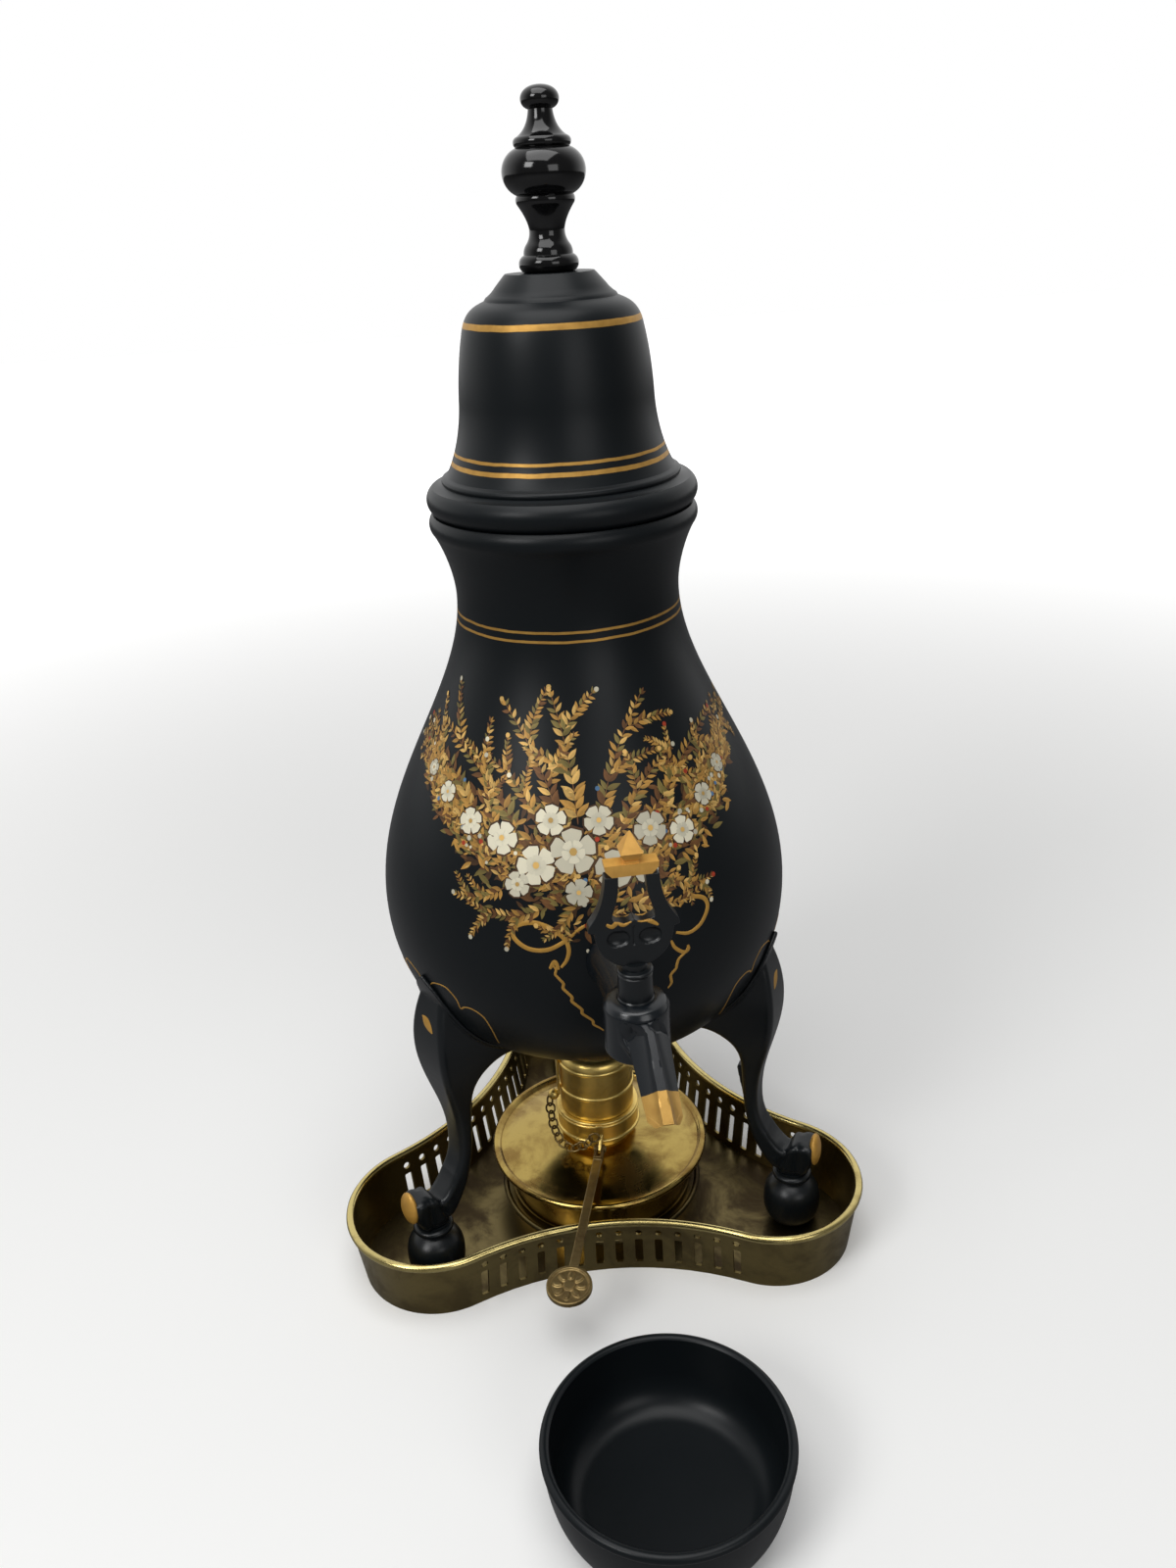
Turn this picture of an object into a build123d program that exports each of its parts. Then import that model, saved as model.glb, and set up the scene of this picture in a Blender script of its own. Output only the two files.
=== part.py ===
from build123d import *
import os
from math import asin, atan2, cos, degrees, hypot, pi, radians, sin, sqrt

# A tap urn for hot coffee. It stands on three cabriole legs in a pierced trefoil tray, over a
# spirit burner, with a loose drip bowl under the tap. Millimetres, +Z up. The origin is on the
# urn's axis at the level of the table, and the tap points along -Y.

# Fits and gaps
seat_gap = 0.3  # between loose pieces that stand on each other
turn_fit = 0.08  # radial clearance of a part that turns
pin_fit = 0.04  # radial clearance of a small pin or stud

# Trefoil tray
tray_height = 26.5  # table to the top of the rolled rim
tray_reach = 106.8  # axis to the rim's centre line at a lobe's tip
tray_waist = 54.8  # axis to the rim's centre line at a waist
lobe_radius = 33.0
tray_turn = -5.5  # how far the tray lies turned from the urn's front, in degrees
tray_flare = 3.4  # how far the rim leans out over the tray's foot
tray_wall = 1.0
tray_floor = 1.2
rim_radius = 1.5
rim_seat = 1.2  # how far below its centre the rim is flat, where it sits on the wall
seat_ring_radius = 39.6  # pressed ring that keeps the burner in place
seat_ring_width = 1.6
seat_ring_height = 1.1
units_per_waist = 14
hole_radius = 1.35
hole_height = 19.8
slot_width = 2.9
slot_low = 3.6
slot_high = 16.2

# Burner
reservoir_radius = 37.0
reservoir_wall = 0.9
flange_radius = 43.5
flange_height = 22.6  # table to the top of the rolled edge of the burner's disc
flange_roll = 1.3
disc_thickness = 0.9
dome_rise = 5.4
neck_radius = 13.6
neck_wall = 1.2
neck_top = 41.0
sleeve_radius = 16.4
sleeve_low = 30.2
sleeve_high = 39.6
wick_tube_radius = 8.0
wick_tube_wall = 0.7
wick_tube_top = 56.0
wick_top = 58.5
wick_fit = 0.25
cap_radius = 14.6
cap_wall = 0.8
cap_top = 66.0
cap_bead = 0.55
cap_bead_heights = (49.6, 61.4)

# Lever of the turning sleeve
lug_angle = -97.0  # where the lug stands round the sleeve
lever_angle = -109.0  # the way the lever points
lever_eye_reach = 20.6  # axis to the lever's pin
lever_eye_height = 31.0
lever_length = 65.0  # pin to the middle of the rosette
lever_slope = 5.2  # degrees down from level
lever_width = 3.4
lever_thickness = 1.2
lug_thickness = 1.4
pin_radius = 0.8
rosette_radius = 8.1
rosette_thickness = 1.3

# Chain from the snuffer cap to the lug
strap_angle = -172.0
strap_width = 2.6
strap_thickness = 0.8
strap_ball = 2.2
strap_ball_height = 46.4
ring_radius = 2.0  # middle of a ring to the middle of its wire
ring_wire = 0.4
ring_pitch = 2.75
ring_lead = 0.4  # how much nearer the end rings lie to their eyes, in pitches
chain_sag = 8.0
chain_bulge = 4.6

# Urn body
body_low = 89.3  # table to the underside
foot_disc = 28.0  # radius of the flat underside
belly_radius = 72.6
belly_height = 54.0  # underside to the widest place
waist_radius = 37.1
lip_radius = 42.8  # where the rim's bead starts
body_height = 190.2
neck_length = 27.2  # waist to mouth
lip_bead = 6.0  # height of the bead round the mouth
mouth_bead = 43.8
body_wall = 1.6
bottom_seam = 30.0  # underside to the first of three soldered seams
shoulder_seam = 88.0
neck_seam = 136.0

# Lid
lid_height = 70.1
lid_wall = 1.5
lid_bead = 43.9
lid_foot = 36.6  # foot of the bell, above the bead
bell_radius = 30.8
shoulder_radius = 27.6
lid_table = 13.7  # flat top under the finial
skirt_depth = 8.0
skirt_wall = 1.0

# Finial
finial_height = 50.2
finial_bulb = 12.5
finial_foot = 9.1
finial_tip = 5.5
stud_radius = 2.0
stud_depth = 24.0
nut_flats = 7.0
nut_height = 3.0

# Legs and ball feet
leg_angles = (-150.0, -30.0, 90.0)
leg_names = ("leg_left", "leg_right", "leg_back")
foot_names = ("ball_foot_left", "ball_foot_right", "ball_foot_back")
foot_reach = 80.0
foot_radius = 10.8
foot_top = 26.2
foot_neck = 5.6
leg_breadth = 10.4  # half the breadth of the knee
leg_edge = 2.2  # rounding along a leg
leg_flange = 1.6
hoof_width = 12.0
hoof_height = 18.0
toe_reach = 10.0

# Tap
tap_reach = 106.0  # axis of the urn to the axis of the key
tap_height = 149.5
barrel_radius = 9.8
barrel_drop = 9.0  # tap's centre line down to the barrel's foot
barrel_rise = 9.0  # and up to its top
barrel_edge = 1.1
plug_low_radius = 4.6
plug_high_radius = 5.4
pipe_radius = 7.4
bore_radius = 2.6
tail_radius = 5.2
strainer_grip = 2.0
tap_nut_flats = 16.0
tap_nut_height = 4.0
seal_thickness = 1.4
seal_radius = 9.0
spout_width = 13.6
spout_depth = 11.6
spout_tip_width = 10.8
spout_tip_depth = 8.6
spout_run = 28.0  # barrel's axis to the mouth, level
spout_drop = 20.5  # from the spout's root to its end
mouth_drop = 14.3  # tap's centre line down to the spout's mouth

# Key
stem_radius = 5.1
stem_length = 9.5
stem_neck = 2.2  # stem to the foot of the shield
key_thickness = 4.2
key_half_width = 13.2
shield_height = 15.4
arm_gap = 3.9  # half the gap between the two arms
arm_height = 13.6
bar_half_length = 7.6
bar_height = 3.8
bar_depth = 5.0
point_height = 9.0  # bar to the tip
point_half = 3.5

# Drip bowl
bowl_reach = 149.4
bowl_angle = -91.1
bowl_radius = 39.0
bowl_height = 30.0
bowl_wall = 2.4
bowl_foot = 27.0

# Heights that follow from these
waist_height = body_height - neck_length
lip_height = body_height - lip_bead
barrel_low = tap_height - barrel_drop
barrel_high = tap_height + barrel_rise
mouth_height = tap_height - mouth_drop
stem_high = barrel_high + stem_length
shield_low = stem_high + stem_neck
shield_high = shield_low + shield_height
arm_top = shield_high + arm_height
key_point = arm_top + bar_height + point_height


def spot(radius, angle, height=0.0):
    """A point at a distance and an angle from the urn's axis."""
    return Vector(radius * cos(radians(angle)), radius * sin(radians(angle)), height)


def radial_plane(angle, radius=0.0, height=0.0):
    """An upright plane through the axis: X leads outwards at the angle, Y leads up."""
    way = spot(1, angle)
    return Plane(origin=spot(radius, angle, height), x_dir=way, z_dir=way.cross(Vector(0, 0, 1)))


def facing_plane(angle, radius, height=0.0):
    """An upright plane square to a radius, facing outwards."""
    way = spot(1, angle)
    return Plane(origin=spot(radius, angle, height), x_dir=Vector(0, 0, 1).cross(way), z_dir=way)


def keep(piece, name):
    """Labels a finished piece and writes it."""
    piece.part.label = name
    export_step(piece.part, f"parts/{name}.step")


os.makedirs("parts", exist_ok=True)

# The tray's outline: three round lobes joined by three hollow waists, each arc meeting the next
# smoothly. Everything about it follows from the reach, the waist and the lobes' radius.
lobe_centre = tray_reach - lobe_radius
hollow_radius = (
    lobe_radius**2 - lobe_centre**2 - tray_waist**2 + lobe_centre * tray_waist
) / (2 * tray_waist - lobe_centre - 2 * lobe_radius)
hollow_centre = tray_waist + hollow_radius
half_hollow = degrees(asin(lobe_centre * sin(pi / 3) / (lobe_radius + hollow_radius)))
half_lobe = 60 + half_hollow
flare_angle = degrees(atan2(tray_flare, tray_height))
wall_height = tray_height - rim_radius - rim_seat


def trefoil(inset):
    """Draws the tray's outline in a line builder, moved in from the rim's centre line."""
    for side in range(3):
        lobe_way = tray_turn - 30 + 120 * side
        hollow_way = lobe_way + 60
        lobe = spot(lobe_centre, lobe_way)
        hollow = spot(hollow_centre, hollow_way)
        CenterArc(lobe, lobe_radius - inset, lobe_way - half_lobe, 2 * half_lobe)
        CenterArc(hollow, hollow_radius + inset, hollow_way + 180 - half_hollow, 2 * half_hollow)


with BuildPart() as tray_base:
    with BuildSketch():
        with BuildLine():
            trefoil(tray_flare + tray_wall / 2)
        make_face()
    extrude(amount=tray_floor, taper=-flare_angle)
    with BuildSketch(Plane.XY.offset(tray_floor)):
        Circle(seat_ring_radius + seat_ring_width / 2)
        Circle(seat_ring_radius - seat_ring_width / 2, mode=Mode.SUBTRACT)
    extrude(amount=seat_ring_height)
    ring_edges = tray_base.edges().filter_by(GeomType.CIRCLE).group_by(Axis.Z)[-1]
    fillet(ring_edges, seat_ring_width * 0.4)
keep(tray_base, "tray_base")

# Cutters for the pierced waists: a round hole over a tall slot, all square to the hollow wall.
with BuildPart() as piercings:
    for side in range(3):
        hollow_way = tray_turn + 30 + 120 * side
        middle = spot(hollow_centre, hollow_way)
        for unit in range(units_per_waist):
            share = unit / (units_per_waist - 1) - 0.5
            way = hollow_way + 180 + share * 2 * half_hollow * 0.94
            at = middle + spot(hollow_radius + tray_flare / 2, way)
            with BuildSketch(Plane(origin=at, x_dir=(0, 0, 1), z_dir=spot(1, way))):
                with Locations((hole_height, 0)):
                    Circle(hole_radius)
                with Locations(((slot_low + slot_high) / 2, 0)):
                    Rectangle(slot_high - slot_low, slot_width)
    extrude(amount=tray_flare, both=True)

with BuildPart() as tray_gallery:
    with BuildSketch():
        with BuildLine():
            trefoil(tray_flare - tray_wall / 2)
        make_face()
    extrude(amount=wall_height, taper=-flare_angle)
    with BuildSketch():
        with BuildLine():
            trefoil(tray_flare + tray_wall / 2)
        make_face()
    extrude(amount=wall_height, taper=-flare_angle, mode=Mode.SUBTRACT)
    add(piercings.part, mode=Mode.SUBTRACT)
keep(tray_gallery, "tray_gallery")

# The rolled rim, with a flat seat on the wall's top edge.
rim_centre = tray_height - rim_radius
rim_start = tray_turn - 30
with BuildPart() as tray_rim:
    with BuildLine(Plane.XY.offset(rim_centre)):
        trefoil(0)
    with BuildSketch(radial_plane(rim_start, tray_reach, rim_centre)):
        Circle(rim_radius)
        with Locations((0, -rim_seat)):
            Rectangle(2 * rim_radius, rim_radius, align=(Align.CENTER, Align.MAX), mode=Mode.SUBTRACT)
    sweep()
keep(tray_rim, "tray_rim")

# Spirit burner: a drawn can, closed by a domed disc whose edge is rolled over it.
reservoir_low = tray_floor + seat_gap
reservoir_top = flange_height - 2 * flange_roll
with BuildPart() as burner_reservoir:
    with BuildSketch(Plane.XY.offset(reservoir_low)):
        Circle(reservoir_radius)
    extrude(amount=reservoir_top - reservoir_low)
    fillet(burner_reservoir.faces().sort_by(Axis.Z)[0].edges(), 2.0)
    offset(amount=-reservoir_wall, openings=burner_reservoir.faces().sort_by(Axis.Z)[-1])
keep(burner_reservoir, "burner_reservoir")

disc_top = reservoir_top + disc_thickness
groove_radius = flange_radius - 2 * flange_roll
with BuildPart() as burner_disc:
    with BuildSketch(Plane.XZ):
        with BuildLine():
            Polyline(
                (neck_radius, disc_top + dome_rise),
                (neck_radius, reservoir_top + dome_rise),
                (neck_radius + 3, reservoir_top + dome_rise - 0.6),
            )
            ThreePointArc(
                (neck_radius + 3, reservoir_top + dome_rise - 0.6),
                (reservoir_radius * 0.72, reservoir_top + dome_rise * 0.46),
                (reservoir_radius, reservoir_top),
            )
            Line((reservoir_radius, reservoir_top), (groove_radius, reservoir_top))
            ThreePointArc(
                (groove_radius, reservoir_top),
                (flange_radius, reservoir_top + flange_roll),
                (groove_radius + 0.4, flange_height - 0.3),
            )
            Line((groove_radius + 0.4, flange_height - 0.3), (groove_radius, disc_top))
            Line((groove_radius, disc_top), (reservoir_radius + 1.5, disc_top))
            ThreePointArc(
                (reservoir_radius + 1.5, disc_top),
                (reservoir_radius * 0.74, disc_top + dome_rise * 0.5),
                (neck_radius + 3, disc_top + dome_rise - 0.6),
            )
            Line((neck_radius + 3, disc_top + dome_rise - 0.6), (neck_radius, disc_top + dome_rise))
        make_face()
    revolve(axis=Axis.Z)
keep(burner_disc, "burner_disc")

# The fixed neck: its shoulder stands on the dome, and the sleeve turns round its upper part.
neck_low = reservoir_top + dome_rise
with BuildPart() as burner_neck:
    with BuildSketch(Plane.XZ):
        with BuildLine():
            Polyline(
                (neck_radius - neck_wall, neck_low - 6),
                (neck_radius, neck_low - 6),
                (neck_radius, neck_top),
                (wick_tube_radius + pin_fit, neck_top),
                (wick_tube_radius + pin_fit, neck_top - 1.6),
                (neck_radius - neck_wall, neck_top - 1.6),
                close=True,
            )
        make_face()
    revolve(axis=Axis.Z)
keep(burner_neck, "burner_neck")

with BuildPart() as wick_tube:
    with BuildSketch(Plane.XY.offset(reservoir_low + 8)):
        Circle(wick_tube_radius)
        Circle(wick_tube_radius - wick_tube_wall, mode=Mode.SUBTRACT)
    extrude(amount=wick_tube_top - reservoir_low - 8)
keep(wick_tube, "wick_tube")

with BuildPart() as wick:
    with BuildSketch(Plane.XY.offset(reservoir_low + reservoir_wall + seat_gap)):
        Circle(wick_tube_radius - wick_tube_wall - wick_fit)
    extrude(amount=wick_top - reservoir_low - reservoir_wall - seat_gap)
    fillet(wick.faces().sort_by(Axis.Z)[-1].edges(), 1.5)
keep(wick, "wick")

# The turning sleeve, with a bead at its top and bottom edge.
sleeve_bore = neck_radius + turn_fit
with BuildPart() as regulator_sleeve:
    with BuildSketch(Plane.XZ):
        with BuildLine():
            Line((sleeve_bore, sleeve_high), (sleeve_bore, sleeve_low))
            Line((sleeve_bore, sleeve_low), (sleeve_radius - 0.4, sleeve_low))
            ThreePointArc(
                (sleeve_radius - 0.4, sleeve_low),
                (sleeve_radius + 0.5, sleeve_low + 0.8),
                (sleeve_radius - 0.2, sleeve_low + 1.6),
            )
            Line((sleeve_radius - 0.2, sleeve_low + 1.6), (sleeve_radius - 0.2, sleeve_high - 2.4))
            ThreePointArc(
                (sleeve_radius - 0.2, sleeve_high - 2.4),
                (sleeve_radius + 0.3, sleeve_high - 1.8),
                (sleeve_radius - 0.2, sleeve_high - 1.2),
            )
            ThreePointArc(
                (sleeve_radius - 0.2, sleeve_high - 1.2),
                (sleeve_radius, sleeve_high - 0.6),
                (sleeve_radius - 0.6, sleeve_high),
            )
            Line((sleeve_radius - 0.6, sleeve_high), (sleeve_bore, sleeve_high))
        make_face()
    revolve(axis=Axis.Z)
keep(regulator_sleeve, "regulator_sleeve")

# The lug: a strap on the sleeve's face, turned out into an ear that the lever's fork straddles.
eye = spot(lever_eye_reach, lug_angle, lever_eye_height)
lever_way = spot(1, lever_angle)
lever_across = Vector(0, 0, 1).cross(lever_way)
ear_plane = Plane(origin=eye, x_dir=lever_way, z_dir=lever_way.cross(Vector(0, 0, 1)))
with BuildPart() as lever_lug:
    with BuildSketch(facing_plane(lug_angle, sleeve_radius - 2)):
        with Locations((0, (lever_eye_height + 1 + sleeve_high) / 2)):
            RectangleRounded(lever_width, sleeve_high - lever_eye_height - 1, 1.2)
    extrude(amount=3.3)
    with BuildSketch(ear_plane):
        with BuildLine():
            Line((-4.6, 4.4), (-3.2, 4.4))
            Line((-3.2, 4.4), (1.6, 0.5))
            ThreePointArc((1.6, 0.5), (1.0, -1.35), (-0.6, -1.6))
            Line((-0.6, -1.6), (-4.6, 1.0))
            Line((-4.6, 1.0), (-4.6, 4.4))
        make_face()
        Circle(pin_radius + pin_fit, mode=Mode.SUBTRACT)
    extrude(amount=lug_thickness / 2, both=True)
    with BuildSketch():
        Circle(sleeve_radius + 0.5 + pin_fit)
    extrude(amount=sleeve_high + 5, mode=Mode.SUBTRACT)
keep(lever_lug, "lever_lug")

# The lever lies in a plane that slopes gently outwards. Its fork straddles the ear.
slope = radians(lever_slope)
lever_x = lever_way * cos(slope) - Vector(0, 0, 1) * sin(slope)
lever_z = lever_way * sin(slope) + Vector(0, 0, 1) * cos(slope)
lever_plane = Plane(origin=eye, x_dir=lever_x, z_dir=lever_z)
lever_side = Plane(origin=eye, x_dir=lever_x, z_dir=lever_x.cross(lever_z))
fork_run = 5.0
with BuildPart() as lever:
    with BuildSketch(lever_plane):
        with Locations((fork_run, 0)):
            Rectangle(
                lever_length - rosette_radius - fork_run, lever_width, align=(Align.MIN, Align.CENTER)
            )
    extrude(amount=lever_thickness / 2, both=True)
    with BuildSketch(lever_side):
        Circle(1.9)
        with Locations((0, 0)):
            Rectangle(fork_run + 1, 1.8 * 2, align=(Align.MIN, Align.CENTER))
        Circle(pin_radius + pin_fit / 2, mode=Mode.SUBTRACT)
    extrude(amount=lever_width / 2, both=True)
    with BuildSketch(lever_side):
        with Locations((-3, 0)):
            Rectangle(fork_run + 3, 8, align=(Align.MIN, Align.CENTER))
    extrude(amount=lug_thickness / 2 + seat_gap / 2, both=True, mode=Mode.SUBTRACT)
keep(lever, "lever")

with BuildPart() as lever_pin:
    with BuildSketch(lever_side.offset(-lever_width / 2 - 0.7)):
        Circle(pin_radius)
    extrude(amount=lever_width + 1.4)
    for side in (-lever_width / 2 - 0.7, lever_width / 2):
        with BuildSketch(lever_side.offset(side)):
            Circle(1.3)
        extrude(amount=0.7)
keep(lever_pin, "lever_pin")

# The rosette at the lever's end: a cast disc with a raised rim, eight petals and a boss.
with BuildPart() as lever_rosette:
    with BuildSketch(lever_plane.offset(-rosette_thickness / 2)):
        with Locations((lever_length, 0)):
            Circle(rosette_radius)
    extrude(amount=rosette_thickness)
    with BuildSketch(lever_plane.offset(rosette_thickness / 2)):
        with Locations((lever_length, 0)):
            Circle(rosette_radius)
            Circle(rosette_radius - 1.2, mode=Mode.SUBTRACT)
            Circle(2.0)
            with PolarLocations(4.2, 8):
                Ellipse(1.7, 0.9)
    extrude(amount=0.6)
    with BuildSketch(lever_side):
        with Locations((lever_length - rosette_radius - 1, 0)):
            Rectangle(1.0 + 0.02, lever_thickness + 0.1, align=(Align.MIN, Align.CENTER))
    extrude(amount=lever_width / 2 + 0.1, both=True, mode=Mode.SUBTRACT)
keep(lever_rosette, "lever_rosette")

# The snuffer cap stands on the sleeve over the wick. Two beads stiffen it.
cap_low = sleeve_high + seat_gap
with BuildPart() as snuffer_cap:
    with BuildSketch(Plane.XZ):
        with BuildLine():
            Line((cap_radius - cap_wall, cap_low), (cap_radius, cap_low))
            start = (cap_radius, cap_low)
            for height in cap_bead_heights:
                Line(start, (cap_radius, height - 0.9))
                ThreePointArc(
                    (cap_radius, height - 0.9), (cap_radius + cap_bead, height), (cap_radius, height + 0.9)
                )
                start = (cap_radius, height + 0.9)
            Line(start, (cap_radius, cap_top - 3))
            ThreePointArc((cap_radius, cap_top - 3), (cap_radius - 1, cap_top - 0.9), (cap_radius - 3.2, cap_top))
            Line((cap_radius - 3.2, cap_top), (0, cap_top))
            Line((0, cap_top), (0, cap_top - cap_wall))
            Line((0, cap_top - cap_wall), (cap_radius - 3.2, cap_top - cap_wall))
            ThreePointArc(
                (cap_radius - 3.2, cap_top - cap_wall),
                (cap_radius - 1.6, cap_top - 1.5),
                (cap_radius - cap_wall, cap_top - 3),
            )
            Line((cap_radius - cap_wall, cap_top - 3), (cap_radius - cap_wall, cap_low))
        make_face()
    revolve(axis=Axis.Z)
keep(snuffer_cap, "snuffer_cap")

# A strap soldered to the cap's top comes down its side and ends in a ball that holds the chain.
strap_in = cap_radius + cap_bead + 0.1
ball_reach = strap_in + strap_thickness + strap_ball - 0.4
with BuildPart() as cap_strap:
    with BuildSketch(radial_plane(strap_angle)):
        with BuildLine():
            Polyline(
                (cap_radius - 5, cap_top),
                (strap_in, cap_top),
                (strap_in, strap_ball_height),
                (strap_in + strap_thickness, strap_ball_height),
                (strap_in + strap_thickness, cap_top + strap_thickness),
                (cap_radius - 5, cap_top + strap_thickness),
                close=True,
            )
        make_face()
    extrude(amount=strap_width / 2, both=True)
    fillet(cap_strap.edges().filter_by(Axis.Z), 0.3)
    with Locations(spot(ball_reach, strap_angle, strap_ball_height)):
        Sphere(strap_ball)
keep(cap_strap, "cap_strap")

# The chain: round rings, each turned a quarter from the last. They follow a slack line from the
# eye under the ball, down beside the sleeve, over the dome and up to the eye beside the lug.
top_eye = (ball_reach + 1.1, strap_angle, strap_ball_height - strap_ball - 0.55)
low_eye = (sleeve_radius + 3.2, lug_angle - 6.2, sleeve_low + 5.6)
chain_steps = 200


def chain_point(share):
    """A point on the chain's line, from the upper eye at 0 to the lower eye at 1."""
    reach = top_eye[0] + (low_eye[0] - top_eye[0]) * share + chain_bulge * sin(pi * share)
    angle = top_eye[1] + (low_eye[1] - top_eye[1]) * share
    height = top_eye[2] + (low_eye[2] - top_eye[2]) * share - chain_sag * sin(pi * share)
    return spot(reach, angle, height)


# Distances along the line, so that the rings are spaced evenly.
run = [0.0]
for step in range(chain_steps):
    piece = chain_point((step + 1) / chain_steps) - chain_point(step / chain_steps)
    run.append(run[-1] + piece.length)
ring_count = round(run[-1] / ring_pitch) - 1
ring_step = run[-1] / (ring_count + 1 - 2 * ring_lead)
ring_shares = [
    next(step for step, length in enumerate(run) if length >= (number - ring_lead) * ring_step) / chain_steps
    for number in range(1, ring_count + 1)
]


def ring_plane(number):
    """The plane through a ring's middle with X across the ring."""
    share = ring_shares[number]
    way = (chain_point(share + 0.02) - chain_point(share - 0.02)).normalized()
    level = way.cross(Vector(0, 0, 1)).normalized()
    if number % 2:
        level = way.cross(level)
    return Plane(origin=chain_point(share), x_dir=way, z_dir=way.cross(level))


with BuildPart() as chain:
    for number in range(ring_count):
        plane = ring_plane(number)
        with BuildSketch(plane):
            with Locations((ring_radius, 0)):
                RegularPolygon(ring_wire, 6)
        revolve(axis=Axis(plane.origin, plane.y_dir))
keep(chain, "chain")


# Urn body. One outline draws the outside, and the same outline moved in draws the inside.
def lower_curve(inset):
    """The corners of the curve from the underside to the widest place."""
    widest = (belly_radius - inset, body_low + belly_height)
    low = body_low + inset
    return (foot_disc, low), (foot_disc + 26, low), (widest[0], widest[1] - 32), widest


def upper_curve(inset):
    """The corners of the curve from the widest place to the waist."""
    widest = (belly_radius - inset, body_low + belly_height)
    waist = (waist_radius - inset, body_low + waist_height)
    return widest, (widest[0], widest[1] + 42.6), (waist[0], waist[1] - 33.4), waist


def urn_outline(inset):
    """Half of the urn's upright section, as three smooth curves from the underside to the lip."""
    waist = waist_radius - inset
    lip = lip_radius - inset
    Bezier(*lower_curve(inset))
    Bezier(*upper_curve(inset))
    Bezier(
        (waist, body_low + waist_height),
        (waist, body_low + waist_height + 8),
        (lip - 2.2, body_low + lip_height - 3.7),
        (lip, body_low + lip_height),
    )


def body_radius(height):
    """The urn's outside radius at a height above the table, below its waist."""
    corners = lower_curve(0) if height < body_low + belly_height else upper_curve(0)
    low, high = 0.0, 1.0
    reach = 0.0
    for step in range(40):
        share = (low + high) / 2
        weights = ((1 - share) ** 3, 3 * share * (1 - share) ** 2, 3 * share**2 * (1 - share), share**3)
        reach = sum(weight * corner[0] for weight, corner in zip(weights, corners))
        level = sum(weight * corner[1] for weight, corner in zip(weights, corners))
        if level < height:
            low = share
        else:
            high = share
    return reach


body_top = body_low + body_height
with BuildPart() as body_core:
    with BuildSketch(Plane.XZ):
        with BuildLine():
            Line((0, body_low), (foot_disc, body_low))
            urn_outline(0)
            Line((lip_radius, body_low + lip_height), (0, body_low + lip_height))
            Line((0, body_low + lip_height), (0, body_low))
        make_face()
    revolve(axis=Axis.Z)

with BuildPart() as body_hollow:
    with BuildSketch(Plane.XZ):
        with BuildLine():
            Line((0, body_low + body_wall), (foot_disc, body_low + body_wall))
            urn_outline(body_wall)
            Line((lip_radius - body_wall, body_low + lip_height), (lip_radius - body_wall, body_top + 1))
            Line((lip_radius - body_wall, body_top + 1), (0, body_top + 1))
            Line((0, body_top + 1), (0, body_low + body_wall))
        make_face()
    revolve(axis=Axis.Z)

with BuildPart() as urn_shell:
    add(body_core.part)
    with BuildSketch(Plane.XZ):
        with BuildLine():
            ThreePointArc(
                (lip_radius, body_low + lip_height),
                (mouth_bead, (body_low + lip_height + body_top) / 2),
                (mouth_bead - 1.4, body_top),
            )
            Polyline((mouth_bead - 1.4, body_top), (0, body_top), (0, body_low + lip_height))
            Line((0, body_low + lip_height), (lip_radius, body_low + lip_height))
        make_face()
    revolve(axis=Axis.Z)
    add(body_hollow.part, mode=Mode.SUBTRACT)
    with BuildSketch(Plane.XZ):
        with Locations((0, tap_height)):
            Circle(tail_radius + pin_fit)
    extrude(amount=belly_radius + 5, mode=Mode.SUBTRACT)

# The shell is cast in four rings, which are soldered edge to edge and filed flush.
section_names = ("urn_bottom", "urn_belly", "urn_shoulder", "urn_neck")
seams = (0.0, bottom_seam, shoulder_seam, neck_seam, body_height)
for section_name, low, high in zip(section_names, seams, seams[1:]):
    with BuildPart() as section:
        with BuildSketch(Plane.XY.offset(body_low + low)):
            Circle(belly_radius + mouth_bead)
        extrude(amount=high - low)
        add(urn_shell.part, mode=Mode.INTERSECT)
    keep(section, section_name)

# A skin over the body, from which the legs' soldering flanges are cut.
with BuildPart() as flange_skin:
    with BuildSketch(Plane.XZ):
        with BuildLine():
            Line((0, body_low - leg_flange), (foot_disc, body_low - leg_flange))
            urn_outline(-leg_flange)
            Line((lip_radius + leg_flange, body_low + lip_height), (0, body_low + lip_height))
            Line((0, body_low + lip_height), (0, body_low - leg_flange))
        make_face()
    revolve(axis=Axis.Z)

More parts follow.
